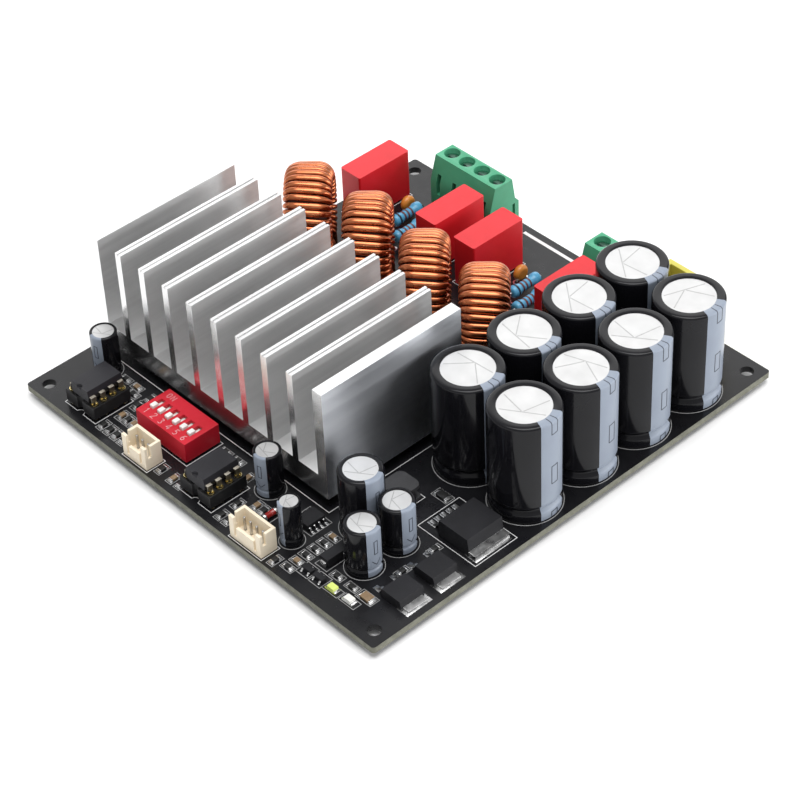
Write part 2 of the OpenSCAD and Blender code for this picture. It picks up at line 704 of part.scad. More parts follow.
// Terminal block body: sloped front, stepped back with the wire entries, one cell per pole
module terminal_housing(poles) {
    n = len(poles);
    mid = (poles[0] + poles[n - 1]) / 2;
    length = n * pole_pitch;
    on_board(mid) difference() {
        along_x(length) polygon([
            [block_front, 0], [block_back, 0], [block_back, 6.2], [block_back - 1.2, 7.6],
            [block_back - 2.1, block_h], [block_front + 1.9, block_h], [block_front, 6.9]
        ]);
        for (p = poles) translate([p.x - mid.x, 0, 0]) {
            translate([-cell_w / 2, cell_front, cell_floor])
                cube([cell_w, cell_back - cell_front, cell_top - cell_floor]);
            translate([-window_w / 2 - 0.1, 0, cage_z + cage_floor_t - 0.2])
                cube([window_w + 0.2, block_back + 1, window_h - bar_t]);
            translate([-0.6, block_front - 1, 3.6]) cube([1.2, cell_front - block_front + 2, 5.6]);
            translate([0, 0, shelf_z]) cylinder(h = block_h, d = head_d + 2 * head_gap);
            translate([0, 0, cell_top - 1]) cylinder(h = shelf_t + 2, d = shank_d + 0.3);
            translate([-leg_w / 2 - 0.1, leg_y - 0.1, -1]) cube([leg_w + 0.2, leg_t + 0.2, cell_floor + 2]);
        }
        translate([length / 2 - 0.5, 2.4, -1]) cube([1, 0.9, 7]);
    }
}

module speaker_terminal_housing() color("#2f9e68") terminal_housing(speaker_poles);
module power_terminal_housing() color("#2f9e68") terminal_housing(power_poles);

// Clamping cage, stored open at the bottom of its cell
module cage(p) {
    color("#b7b9ba") on_board(p) difference() {
        translate([-cage_w / 2, cage_front, cage_z]) cube([cage_w, cage_back - cage_front, cage_h]);
        translate([-window_w / 2, cage_front - 1, cage_z + cage_floor_t])
            cube([window_w, cage_back - cage_front + 2, window_h]);
        translate([0, 0, shank_tip - cage_travel - cage_gap])
            cylinder(h = cage_h + cage_travel, d = shank_d + 2 * thread_gap);
    }
}

module speaker_cage_1() cage(speaker_poles[0]);
module speaker_cage_2() cage(speaker_poles[1]);
module speaker_cage_3() cage(speaker_poles[2]);
module speaker_cage_4() cage(speaker_poles[3]);
module power_cage_1() cage(power_poles[0]);
module power_cage_2() cage(power_poles[1]);

// Slotted screw turning on its shelf
module terminal_screw(p) {
    color("#c9cbcc") on_board(p) difference() {
        union() {
            translate([0, 0, shelf_z + head_rest]) cylinder(h = head_h, d = head_d);
            translate([0, 0, shank_tip]) cylinder(h = shelf_z + head_rest - shank_tip + eps, d = shank_d);
        }
        box([head_d + 1, 0.7, 2], shelf_z + head_rest + head_h - 0.8);
    }
}

module speaker_screw_1() terminal_screw(speaker_poles[0]);
module speaker_screw_2() terminal_screw(speaker_poles[1]);
module speaker_screw_3() terminal_screw(speaker_poles[2]);
module speaker_screw_4() terminal_screw(speaker_poles[3]);
module power_screw_1() terminal_screw(power_poles[0]);
module power_screw_2() terminal_screw(power_poles[1]);

// Contact bars that the cages pull the wire against, and the header pins
module connector_pins() {
    color("#d0d2d2") {
        for (p = concat(speaker_poles, power_poles)) on_board(p) {
            translate([-bar_w / 2, leg_y, bar_top - bar_t]) cube([bar_w, cell_back - leg_y - 0.4, bar_t]);
            translate([-leg_w / 2, leg_y, -board_t]) cube([leg_w, leg_t, board_t + bar_top - eps]);
        }
        for (h = header_spots, p = header_pins(h)) on_board(p)
            box([header_pin_w, header_pin_w, board_t + header_h - 1], -board_t);
    }
}

// Upright shroud, chamfered at one end so that the plug goes in one way only
module power_plug_housing() {
    color("#f0c419") on_board(plug_at) difference() {
        linear_extrude(plug_h) plug_outline(0);
        translate([0, 0, plug_floor]) linear_extrude(plug_h) plug_outline(plug_wall);
        for (x = [-1, 1]) translate([x * plug_pitch / 2, 0, -1]) {
            cylinder(h = plug_floor + 2, d = plug_tail_d + 0.2);
            translate([0, 0, 2.4]) cylinder(h = plug_floor, d = plug_pin_d + 0.2);
        }
    }
}

module plug_outline(inset) {
    x = plug_l / 2 - inset;
    y = plug_w / 2 - inset;
    c = plug_chamfer - inset * 0.586;
    polygon([[-x, -y], [x - c, -y], [x, c - y], [x, y - c], [x - c, y], [-x, y]]);
}

// Split bullet pins
module power_plug_pins() {
    color("#d8a63a") for (x = [-1, 1]) on_board(plug_at) translate([x * plug_pitch / 2, 0, 0]) difference() {
        union() {
            translate([0, 0, -board_t]) cylinder(h = board_t + 2.5, d = plug_tail_d);
            translate([0, 0, 2.4]) cylinder(h = plug_h - 4.4, d = plug_pin_d);
            translate([0, 0, plug_h - 2]) cylinder(h = 0.8, d1 = plug_pin_d, d2 = plug_pin_d - 1.2);
        }
        for (a = [45, 135]) rotate(a) box([plug_pin_d + 1, 0.4, plug_h], plug_floor + 1.5);
    }
}

// Slide switch cover with one slot per slider
module dip_switch_case() {
    color("#a3262b") on_board(dip_at) difference() {
        box([dip_w, dip_d, dip_h - dip_lift], dip_lift);
        box([dip_w - 2 * dip_wall, dip_d - 2 * dip_wall, dip_h - dip_roof]);
        for (x = slide_xs)
            translate([x - knob_w / 2 - slide_gap, slide_rest_y - knob_l / 2 - slide_gap, dip_h - 2])
                cube([knob_w + 2 * slide_gap, knob_l + slide_travel + 2 * slide_gap, 3]);
    }
}

module dip_switch_base() {
    color("#2a2a2c") on_board(dip_at) {
        box([dip_w - 2 * dip_wall - 2 * dip_fit, dip_d - 2 * dip_wall - 2 * dip_fit, dip_base_t], dip_lift);
        for (x = slide_xs, y = [-1, 1]) translate([x, y * row_gap / 2, -board_t])
            box([dip_leg_w, 0.3, board_t + dip_lift + 0.6]);
    }
}

// Knob on a foot held under the cover, long enough to close the open end of the slot
module dip_slider(i) {
    color("#ece9e2") on_board(dip_at) translate([slide_xs[i], slide_rest_y, 0]) {
        translate([-foot_w / 2, -foot_near, dip_floor + slide_gap])
            cube([foot_w, foot_near + foot_far, foot_top - dip_floor - slide_gap]);
        box([knob_w, knob_l, dip_h + 0.6 - foot_top + 0.5], foot_top - 0.5);
    }
}

module dip_slider_1() dip_slider(0);
module dip_slider_2() dip_slider(1);
module dip_slider_3() dip_slider(2);
module dip_slider_4() dip_slider(3);
module dip_slider_5() dip_slider(4);
module dip_slider_6() dip_slider(5);

// Open boxes with a low front panel between two slots
module signal_headers() {
    color("#e9e2c8") for (h = header_spots) {
        w = header_w(h[1]);
        panel = w - 3.6;
        on_board(h[0]) difference() {
            box([w, header_d, header_h]);
            box([w - 2 * header_wall, header_d - 2 * header_wall, header_h], header_floor);
            translate([0, -header_d / 2, 0]) {
                box([panel, 2 * header_wall + 0.6, header_h], header_h * 0.6);
                for (s = [-1, 1]) translate([s * panel / 2, 0, 0])
                    box([0.7, 2 * header_wall + 0.6, header_h], header_floor - 0.4);
            }
            translate([0, header_wall + 0.5 - header_d / 2, 0]) box([w + 1, 0.9, header_h], header_h * 0.5);
            for (p = header_pins([[0, 0], h[1]])) translate(p)
                box([header_pin_w + 0.1, header_pin_w + 0.1, 4], -1);
        }
    }
}

// Socket frame with a round hole for each contact and an open middle
module op_amp_sockets() {
    color("#17171a") for (p = amp8_spots) on_board(p) difference() {
        box([row_gap + 2.5, 4 * amp8_pitch, socket_top - 0.6], 0.6);
        box([row_gap - 3.1, 4 * amp8_pitch - 2.6, socket_top + 1]);
        translate([0, -2 * amp8_pitch, -1]) cylinder(h = socket_top + 2, r = 0.9);
        for (q = amp8_pins) translate([q.x, q.y, -1])
            cylinder(h = socket_top + 2, d = contact_d + 2 * contact_gap);
    }
}

module socket_contacts() {
    color("#d9b45a") for (p = amp8_spots, q = amp8_pins) on_board(p + q) difference() {
        union() {
            translate([0, 0, -board_t]) cylinder(h = board_t + 1, d = contact_tail);
            translate([0, 0, 0.8]) cylinder(h = contact_top - 0.8, d = contact_d);
        }
        translate([0, 0, 1.4]) cylinder(h = contact_top, d = contact_bore);
        translate([0, 0, contact_top - 0.45]) cylinder(h = 0.46, d1 = contact_bore, d2 = contact_d - 0.3);
    }
}

// Plastic body with drafted sides and an index notch, legs down into the contacts
module op_amps() {
    w = amp8_w / 2;
    color("#202023") for (p = amp8_spots) on_board(p) {
        difference() {
            along_y(amp8_l) polygon([
                [0.3 - w, amp8_bottom], [w - 0.3, amp8_bottom], [w, amp8_shoulder],
                [w - 0.3, amp8_top], [0.3 - w, amp8_top], [-w, amp8_shoulder]
            ]);
            translate([0, -amp8_l / 2, amp8_top - 0.8]) cylinder(h = 2, r = 0.8);
        }
        for (q = amp8_pins, s = [q.x > 0 ? 1 : -1]) translate([0, q.y, 0]) {
            translate([s * (row_gap / 2 + w - 0.6) / 2, 0, 0])
                box([row_gap / 2 - w + 0.85, 1.3, 0.25], amp8_shoulder - 0.12);
            translate([s * row_gap / 2, 0, 0]) {
                box([0.25, 1.3, amp8_shoulder + 0.13 - contact_top - 0.3], contact_top + 0.3);
                box([0.25, 0.45, contact_top - 1.2], 1.8);
            }
        }
    }
}

// Power packages: tab to the right, leads to the left
module voltage_regulators() {
    color("#1b1b1d") {
        on_board(reg_at) power_package(9.1, reg_w, 4.5, 6.5, reg_w - 0.1, 1.3, 4.1, [-3.4, -1.7, 0, 1.7, 3.4]);
        for (p = dpak_spots) on_board(p) power_package(6.1, 6.6, 2.3, 4.75, 5.3, 0.5, 2.4, [-2.3, 2.3]);
    }
}

module power_package(l, w, h, tab_x, tab_w, tab_t, reach, lead_ys) {
    along_y(w) polygon([
        [-l / 2, 0.1], [l / 2, 0.1], [l / 2, h * 0.45], [l / 2 - 0.35, h], [0.35 - l / 2, h], [-l / 2, h * 0.45]
    ]);
    translate([0, -tab_w / 2, 0]) cube([tab_x, tab_w, tab_t]);
    for (y = lead_ys) translate([-l / 2, y, 0]) rotate(180) gull(0.8, reach, h * 0.42, 0.5, reach * 0.42);
}

module power_inductor() {
    color("#26262a") on_board(coil_box_at) {
        linear_extrude(0.7) soft_square(coil_box_w, coil_box_w, 1);
        cylinder(h = coil_box_h, d = coil_box_w * 0.8);
        translate([0, 0, coil_box_h - 0.9]) linear_extrude(0.9) soft_square(coil_box_w, coil_box_w, 1.6);
    }
}

module small_semiconductors() {
    color("#222224") {
        on_board(so8_at) {
            box([3.9, 4.9, 1.45], 0.1);
            for (i = [0:3], s = [0, 180]) rotate(s)
                translate([1.95, (i - 1.5) * 1.27, 0]) gull(0.42, 1.05, 0.6, 0.2, 0.5);
        }
        for (p = sot_spots) on_board(p) {
            box([2.9, 1.3, 0.95], 0.08);
            for (x = [-0.95, 0.95]) translate([x, -0.65, 0]) rotate(-90) gull(0.45, 0.65, 0.4, 0.15, 0.3);
            translate([0, 0.65, 0]) rotate(90) gull(0.45, 0.65, 0.4, 0.15, 0.3);
        }
        on_board(sma_at) {
            box([2.6, 4.3, 2.1], 0.1);
            for (s = [-1, 1]) translate([0, s * 2.05, 0]) box([1.5, 1, 1.2]);
        }
        on_board(melf_at) translate([0, 0, 0.8]) rotate([90, 0, 0]) {
            cylinder(h = 3.5, d = 1.4, center = true);
            for (s = [-1, 1]) translate([0, 0, s * 1.5]) cylinder(h = 0.6, d = 1.6, center = true);
        }
    }
}

module chip_passives() {
    color("#8c7a62") for (r = chip_rows, i = [0:r[2] - 1]) on_board(r[0] + i * r[1]) rotate(r[3]) {
        width = r[4] * chip_w_share;
        box([r[4] - 0.4, width - 0.06, 0.56]);
        for (s = [-1, 1]) translate([s * (r[4] / 2 - 0.2), 0, 0]) box([0.4, width, 0.6]);
    }
}

module leds() {
    color("#e8e6d2") for (p = led_spots) on_board(p) {
        box([3.2, 1.6, 0.5]);
        box([2, 1.5, 1.1]);
    }
}

circuit_board();
solder_joints();
heatsink();
heatsink_screws();
amplifier_chip();
bulk_capacitor_1();
bulk_capacitor_2();
bulk_capacitor_3();
bulk_capacitor_4();
bulk_capacitor_5();
bulk_capacitor_6();
bulk_capacitor_7();
bulk_capacitor_8();
filter_capacitors();
coupling_capacitors();
choke_cores();
choke_winding_1();
choke_winding_2();
choke_winding_3();
choke_winding_4();
film_capacitor_1();
film_capacitor_2();
film_capacitor_3();
film_capacitor_4();
snubber_resistors();
snubber_capacitors();
speaker_terminal_housing();
speaker_cage_1();
speaker_cage_2();
speaker_cage_3();
speaker_cage_4();
speaker_screw_1();
speaker_screw_2();
speaker_screw_3();
speaker_screw_4();
power_terminal_housing();
power_cage_1();
power_cage_2();
power_screw_1();
power_screw_2();
connector_pins();
power_plug_housing();
power_plug_pins();
dip_switch_case();
dip_switch_base();
dip_slider_1();
dip_slider_2();
dip_slider_3();
dip_slider_4();
dip_slider_5();
dip_slider_6();
signal_headers();
op_amp_sockets();
socket_contacts();
op_amps();
voltage_regulators();
power_inductor();
small_semiconductors();
chip_passives();
leds();
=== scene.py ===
"""Looks of the audio amplifier board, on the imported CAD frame. Shapes are drawn in millimetres."""
import math

import bmesh
import bpy
from mathutils import Matrix, Vector


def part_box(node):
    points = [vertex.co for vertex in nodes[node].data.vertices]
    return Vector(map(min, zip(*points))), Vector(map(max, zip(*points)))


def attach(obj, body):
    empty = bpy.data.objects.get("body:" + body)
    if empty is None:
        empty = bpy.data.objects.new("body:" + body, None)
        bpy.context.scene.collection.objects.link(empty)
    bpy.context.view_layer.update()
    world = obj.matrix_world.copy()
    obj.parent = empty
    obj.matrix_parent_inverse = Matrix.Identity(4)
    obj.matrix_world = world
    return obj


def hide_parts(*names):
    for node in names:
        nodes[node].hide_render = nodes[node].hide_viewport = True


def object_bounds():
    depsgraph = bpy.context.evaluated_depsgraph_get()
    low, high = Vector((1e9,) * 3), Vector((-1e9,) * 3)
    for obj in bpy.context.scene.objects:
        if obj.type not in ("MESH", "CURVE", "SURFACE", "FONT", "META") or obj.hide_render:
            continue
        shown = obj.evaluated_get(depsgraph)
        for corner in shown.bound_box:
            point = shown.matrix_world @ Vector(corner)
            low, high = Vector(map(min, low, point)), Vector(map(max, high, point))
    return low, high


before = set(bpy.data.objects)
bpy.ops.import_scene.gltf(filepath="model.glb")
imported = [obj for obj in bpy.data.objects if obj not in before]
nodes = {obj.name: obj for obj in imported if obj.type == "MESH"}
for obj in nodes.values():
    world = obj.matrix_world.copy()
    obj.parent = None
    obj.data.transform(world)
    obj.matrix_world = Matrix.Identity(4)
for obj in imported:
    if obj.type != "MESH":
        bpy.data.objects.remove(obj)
cad_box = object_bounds()


def box(node):
    """Lowest and highest corners of a CAD node, in millimetres."""
    return [corner * 1000 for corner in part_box(node)]


BOARD_LOW, BOARD_HIGH = box("circuit_board")
BOARD_TOP = BOARD_HIGH.z
UNDER = box("solder_joints")[0].z


# Materials

def material(name, rough=0.5, metallic=0.0, coat=0.0, ior=1.5):
    """A new material with its shader's plain values set."""
    mat = bpy.data.materials.new(name)
    mat.use_nodes = True
    shader = mat.node_tree.nodes["Principled BSDF"]
    shader.inputs["Roughness"].default_value = rough
    shader.inputs["Metallic"].default_value = metallic
    shader.inputs["Coat Weight"].default_value = coat
    shader.inputs["Coat Roughness"].default_value = 0.1
    shader.inputs["IOR"].default_value = ior
    return mat, mat.node_tree, shader


def noise(tree, size, stretch=(1, 1, 1), detail=4.0):
    """Noise in object space with features about size millimetres across, drawn out by stretch."""
    coords = tree.nodes.new("ShaderNodeTexCoord")
    mapping = tree.nodes.new("ShaderNodeMapping")
    mapping.inputs["Scale"].default_value = [1000 / (size * s) for s in stretch]
    texture = tree.nodes.new("ShaderNodeTexNoise")
    texture.inputs["Scale"].default_value = 1.0
    texture.inputs["Detail"].default_value = detail
    tree.links.new(coords.outputs["Object"], mapping.inputs["Vector"])
    tree.links.new(mapping.outputs["Vector"], texture.inputs["Vector"])
    return texture.outputs["Fac"]


def tint(tree, shader, fac, dark, light):
    """Base colour between two tones, led by fac."""
    ramp = tree.nodes.new("ShaderNodeValToRGB")
    for stop, place, tone in zip(ramp.color_ramp.elements, (0.3, 0.7), (dark, light)):
        stop.position = place
        stop.color = (*tone, 1)
    tree.links.new(fac, ramp.inputs["Fac"])
    tree.links.new(ramp.outputs["Color"], shader.inputs["Base Color"])


def roughen(tree, shader, fac, low, high):
    """Roughness between two values, led by fac."""
    spread = tree.nodes.new("ShaderNodeMapRange")
    for socket, value in zip(("From Min", "From Max", "To Min", "To Max"), (0.3, 0.7, low, high)):
        spread.inputs[socket].default_value = value
    tree.links.new(fac, spread.inputs["Value"])
    tree.links.new(spread.outputs["Result"], shader.inputs["Roughness"])


def emboss(tree, shader, fac, depth):
    """Bump of the given depth in millimetres, led by fac."""
    bump = tree.nodes.new("ShaderNodeBump")
    bump.inputs["Strength"].default_value = 0.25
    bump.inputs["Distance"].default_value = depth / 1000
    tree.links.new(fac, bump.inputs["Height"])
    tree.links.new(bump.outputs["Normal"], shader.inputs["Normal"])


def plastic(name, dark, light, rough, grain=0.2, bump=0.02, blotch=6.0, coat=0.0, ior=1.45):
    """Moulded or painted skin: slow colour drift between two tones, fine grain."""
    mat, tree, shader = material(name, coat=coat, ior=ior)
    slow = noise(tree, blotch)
    fine = noise(tree, grain, detail=2.0)
    tint(tree, shader, slow, dark, light)
    roughen(tree, shader, fine, rough - 0.05, rough + 0.07)
    emboss(tree, shader, fine, bump)
    return mat


def metal(name, dark, light, rough, size=1.0, stretch=(1, 1, 1), bump=0.01, coat=0.0, metallic=1.0, vary=0.06,
          drawn=0.0):
    """Metal whose tone and polish drift along its grain. Drawn spreads reflections across the grain."""
    mat, tree, shader = material(name, metallic=metallic, coat=coat)
    shader.inputs["Anisotropic"].default_value = drawn
    shader.inputs["Anisotropic Rotation"].default_value = 0.25
    streaks = noise(tree, size, stretch, detail=2.0)
    tint(tree, shader, streaks, dark, light)
    roughen(tree, shader, streaks, rough - vary, rough + vary)
    emboss(tree, shader, streaks, bump)
    return mat


def grey(low, high, warm=1.0):
    """Two grey tones, their blue share divided by warm."""
    return (low, low, low / warm), (high, high, high / warm)


ALONG_Y = (1, 50, 1)
ALONG_X = (30, 1, 1)
MASK = plastic("solder_mask", (0.006, 0.006, 0.007), (0.009, 0.009, 0.011), 0.3, grain=2.5, bump=0.004,
               blotch=14, ior=1.39)
LAMINATE = plastic("board_edge", (0.13, 0.13, 0.1), (0.21, 0.21, 0.165), 0.7, grain=0.3, blotch=1.5)
SILK = plastic("silkscreen", *grey(0.62, 0.76), 0.6, blotch=3)
SILK_FAINT = plastic("silkscreen_thin", *grey(0.3, 0.42), 0.6, blotch=3)
TIN = metal("tin", *grey(0.44, 0.56), 0.32, size=1.6, bump=0.01)
SOLDER = metal("solder", *grey(0.62, 0.76), 0.26, size=1.2, bump=0.01)
STEEL = metal("plated_steel", (0.5, 0.51, 0.53), (0.68, 0.69, 0.71), 0.3)
# Op-amp legs: tin darkened with painted shade, so they read as legs in shadow.
SHADED_LEG = metal("tin_painted_shade", (0.17, 0.155, 0.13), (0.27, 0.25, 0.21), 0.42)
GOLD = metal("gold_plate", (0.72, 0.58, 0.27), (0.88, 0.75, 0.4), 0.24)
# Socket bores: gold darkened as painted shade.
GOLD_SHADED = metal("gold_in_shade", (0.1, 0.075, 0.03), (0.16, 0.12, 0.05), 0.4)
COPPER = metal("enamelled_copper", (0.48, 0.142, 0.058), (0.56, 0.18, 0.076), 0.29, size=3.0, bump=0.001,
               coat=0.12)
EXTRUDED = metal("extruded_aluminium", *grey(0.71, 0.77), 0.36, 1.2, ALONG_Y, bump=0.001, metallic=0.82,
                 vary=0.03, drawn=0.7)
# Outer walls: the fins' aluminium in a lighter, bluer tone, painted light.
WALL_LIT_ALUMINIUM = metal("wall_aluminium_painted_light", (0.87, 0.9, 0.96), (0.92, 0.95, 1.0), 0.31, 1.6, ALONG_Y, bump=0.0003,
              vary=0.015, drawn=0.74)
SAWN = metal("sawn_aluminium", *grey(0.82, 0.88), 0.24, 1.2, ALONG_X, bump=0.001, vary=0.02)
LID = metal("can_aluminium", *grey(0.58, 0.65), 0.45, size=4.0, bump=0.004, metallic=0.8)
# Lid scores: grey lines on the lid, painted shade standing in for pressed grooves.
SCORE_SHADE = metal("lid_score_painted_shade", *grey(0.4, 0.48), 0.5)
SLEEVE = plastic("can_sleeve", (0.0055, 0.0055, 0.007), (0.008, 0.008, 0.01), 0.13, grain=9, bump=0.01,
                 ior=1.33)
STRIPE = plastic("sleeve_stripe", (0.245, 0.28, 0.345), (0.265, 0.305, 0.37), 0.3, grain=9, bump=0.01,
                 ior=1.36)
STRIPE_INK = plastic("stripe_ink", (0.02, 0.025, 0.035), (0.03, 0.035, 0.05), 0.4)
RUBBER = plastic("bung_rubber", *grey(0.015, 0.03), 0.8)
CORE = plastic("core_coat", (0.05, 0.011, 0.006), (0.085, 0.02, 0.01), 0.5, grain=0.4)
FILM = plastic("film_box", (0.6, 0.011, 0.018), (0.68, 0.015, 0.024), 0.4, grain=0.3, ior=1.42)
GREEN = plastic("terminal_green", (0.052, 0.31, 0.165), (0.066, 0.36, 0.2), 0.42)
YELLOW = plastic("plug_nylon", (0.54, 0.48, 0.07), (0.6, 0.54, 0.095), 0.4)
RED = plastic("switch_red", (0.5, 0.008, 0.02), (0.6, 0.012, 0.03), 0.36)
CREAM = plastic("header_nylon", (0.84, 0.73, 0.56), (0.9, 0.8, 0.63), 0.45)
WHITE = plastic("slider_white", (0.78, 0.77, 0.74), (0.86, 0.85, 0.83), 0.4)
SWITCH_INK = plastic("switch_ink", (0.58, 0.31, 0.33), (0.67, 0.4, 0.42), 0.5)
BLACK = plastic("socket_plastic", (0.006, 0.006, 0.007), (0.011, 0.011, 0.012), 0.45, grain=0.15, ior=1.4)
EPOXY = plastic("chip_epoxy", (0.009, 0.009, 0.011), (0.014, 0.014, 0.017), 0.52, grain=0.12, ior=1.37)
EPOXY_PALE = plastic("op_amp_epoxy", (0.014, 0.0135, 0.017), (0.02, 0.0195, 0.024), 0.52, grain=0.12, ior=1.4)
FERRITE = plastic("ferrite", (0.025, 0.025, 0.027), (0.045, 0.045, 0.048), 0.55, grain=0.15)
BLUE = plastic("resistor_coat", (0.07, 0.31, 0.52), (0.1, 0.38, 0.6), 0.3, grain=0.5, coat=0.2)
ORANGE = plastic("disc_coat", (0.54, 0.19, 0.028), (0.64, 0.24, 0.04), 0.32, grain=0.6, coat=0.2)
TAN = plastic("chip_tan", (0.2, 0.135, 0.075), (0.28, 0.19, 0.11), 0.45, blotch=1.0)
FILM_BLACK = plastic("chip_black", *grey(0.011, 0.02), 0.4, blotch=1.0)
GLASS_RED = plastic("diode_glass", (0.24, 0.012, 0.01), (0.34, 0.022, 0.018), 0.15, coat=0.5)
LENS_GREEN = plastic("lens_green", (0.62, 0.72, 0.16), (0.74, 0.84, 0.25), 0.3)
LENS_WHITE = plastic("lens_white", *grey(0.74, 0.84, 1.05), 0.3)
BROWN = plastic("band_brown", (0.09, 0.03, 0.03), (0.13, 0.045, 0.045), 0.35)
BAND_BLACK = plastic("band_black", (0.012, 0.016, 0.03), (0.018, 0.024, 0.042), 0.35)


# Shapes

def piece(name, build, mats, replaces=(), smooth=40):
    """An object on the board from build(bm), drawn in millimetres."""
    bm = bmesh.new()
    build(bm)
    bmesh.ops.scale(bm, vec=(0.001, 0.001, 0.001), verts=bm.verts)
    bmesh.ops.recalc_face_normals(bm, faces=bm.faces)
    mesh = bpy.data.meshes.new(name)
    bm.to_mesh(mesh)
    bm.free()
    for mat in mats:
        mesh.materials.append(mat)
    mesh.polygons.foreach_set("use_smooth", [True] * len(mesh.polygons))
    mesh.set_sharp_from_angle(angle=math.radians(smooth))
    obj = bpy.data.objects.new(name, mesh)
    bpy.context.scene.collection.objects.link(obj)
    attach(obj, "board")
    if replaces:
        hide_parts(*replaces)


def around(steps, start=0.0):
    """Angles of steps points round a circle."""
    return [start + 2 * math.pi * k / steps for k in range(steps)]


def tube(bm, rings, mat=0):
    """Quads between rings of vertices that follow each other."""
    for low, high in zip(rings, rings[1:]):
        for k in range(len(low)):
            j = (k + 1) % len(low)
            bm.faces.new((low[k], low[j], high[j], high[k])).material_index = mat


def revolve(bm, profile, centre, steps, paint=None):
    """A closed turned solid from (radius, height, material) points, first and last on the axis."""
    x, y, z = centre
    rings = []
    for r, h, _ in profile[1:-1]:
        rings.append([bm.verts.new((x + r * math.cos(a), y + r * math.sin(a), z + h)) for a in around(steps)])
    foot = bm.verts.new((x, y, z + profile[0][1]))
    peak = bm.verts.new((x, y, z + profile[-1][1]))
    for k in range(steps):
        j = (k + 1) % steps
        strip = [(foot, rings[0][j], rings[0][k])]
        strip += [(low[k], low[j], high[j], high[k]) for low, high in zip(rings, rings[1:])]
        strip.append((rings[-1][k], rings[-1][j], peak))
        for corners, (_, _, mat) in zip(strip, profile):
            angle = (k + 0.5) / steps * 360
            bm.faces.new(corners).material_index = paint(mat, angle) if paint else mat


def sweep(bm, path, outward, wide, radius, sides):
    """A closed tube along path. At each point outward points across it and wide stretches it sideways."""
    rings = []
    last = len(path) - 1
    for i, p in enumerate(path):
        ahead = (path[min(i + 1, last)] - p).normalized()
        behind = (p - path[max(i - 1, 0)]).normalized()
        t = (ahead + behind).normalized()
        n = (outward[i] - outward[i].dot(t) * t).normalized()
        b = t.cross(n) * wide[i]
        rings.append([bm.verts.new(p + radius * (math.cos(a) * n + math.sin(a) * b)) for a in around(sides)])
    tube(bm, rings)
    bm.faces.new(rings[0][::-1])
    bm.faces.new(rings[-1])


def block(bm, lo, hi, mat=0, bevel=0.02):
    """A box between two corners, its edges rounded by bevel."""
    size = Vector(hi) - Vector(lo)
    place = Matrix.Translation((Vector(hi) + Vector(lo)) / 2) @ Matrix.Diagonal((*size, 1))
    corners = bmesh.ops.create_cube(bm, size=1.0, matrix=place)["verts"]
    edges = list({e for v in corners for e in v.link_edges})
    done = bmesh.ops.bevel(bm, geom=edges, offset=bevel, segments=2, profile=0.6, affect="EDGES")
    for f in {f for v in done["verts"] for f in v.link_faces}:
        f.material_index = mat


def ribbon(bm, points, width, z=0.0, thick=0.03, closed=False, mat=0):
    """A flat line of ink or copper through points, with mitred corners. Returns its vertices."""
    pts = [Vector(p) for p in points]
    n = len(pts)
    left, right = [], []
    for i, p in enumerate(pts):
        before = pts[i - 1] if i > 0 or closed else 2 * p - pts[i + 1]
        after = pts[(i + 1) % n] if i < n - 1 or closed else 2 * p - pts[i - 1]
        come = (p - before).normalized()
        side = (come + (after - p).normalized()).normalized().orthogonal()
        reach = width / 2 / max(0.4, side.dot(come.orthogonal()))
        left.append(p + side * reach)
        right.append(p - side * reach)
    rows = [[bm.verts.new((q.x, q.y, h)) for q in line] for line in (left, right) for h in (z, z + thick)]
    low_l, top_l, low_r, top_r = rows
    for i in range(n if closed else n - 1):
        j = (i + 1) % n
        for quad in ((top_l[i], top_r[i], top_r[j], top_l[j]), (low_l[i], low_l[j], low_r[j], low_r[i]),
                     (low_l[i], top_l[i], top_l[j], low_l[j]), (low_r[i], low_r[j], top_r[j], top_r[i])):
            bm.faces.new(quad).material_index = mat
    if not closed:
        for i in (0, n - 1):
            bm.faces.new((low_l[i], low_r[i], top_r[i], top_l[i])).material_index = mat
    return [v for row in rows for v in row]


def dense(points, step):
    """The same path with points no further apart than step."""
    fine = [Vector(points[0])]
    for p in points[1:]:
        start = fine[-1].copy()
        count = max(1, math.ceil((Vector(p) - start).length / step))
        fine += [start.lerp(Vector(p), k / count) for k in range(1, count + 1)]
    return fine


def rectangle(lo, hi, margin=0.0, margin_y=None):
    """Corners of a box's outline in plan, grown by a margin."""
    my = margin if margin_y is None else margin_y
    x0, x1, y0, y1 = lo.x - margin, hi.x + margin, lo.y - my, hi.y + my
    return [(x0, y0), (x1, y0), (x1, y1), (x0, y1)]


def circle(centre, r, steps=64):
    """Points of a circle in plan."""
    return [(centre.x + r * math.cos(a), centre.y + r * math.sin(a)) for a in around(steps)]


def islands(node):
    """Corner pairs, in millimetres, of each separate solid in a CAD node, from left to right."""
    bm = bmesh.new()
    bm.from_mesh(nodes[node].data)
    bmesh.ops.remove_doubles(bm, verts=bm.verts, dist=1e-6)
    seen, found = set(), []
    for start in bm.verts:
        if start in seen:
            continue
        stack, group = [start], []
        seen.add(start)
        while stack:
            v = stack.pop()
            group.append(v.co * 1000)
            fresh = [e.other_vert(v) for e in v.link_edges if e.other_vert(v) not in seen]
            seen.update(fresh)
            stack += fresh
        found.append([Vector([pick(c[i] for c in group) for i in range(3)]) for pick in (min, max)])
    bm.free()
    return sorted(found, key=lambda pair: tuple(pair[0]))


def middle(pair):
    """Centre of a pair of corners."""
    return (pair[0] + pair[1]) / 2


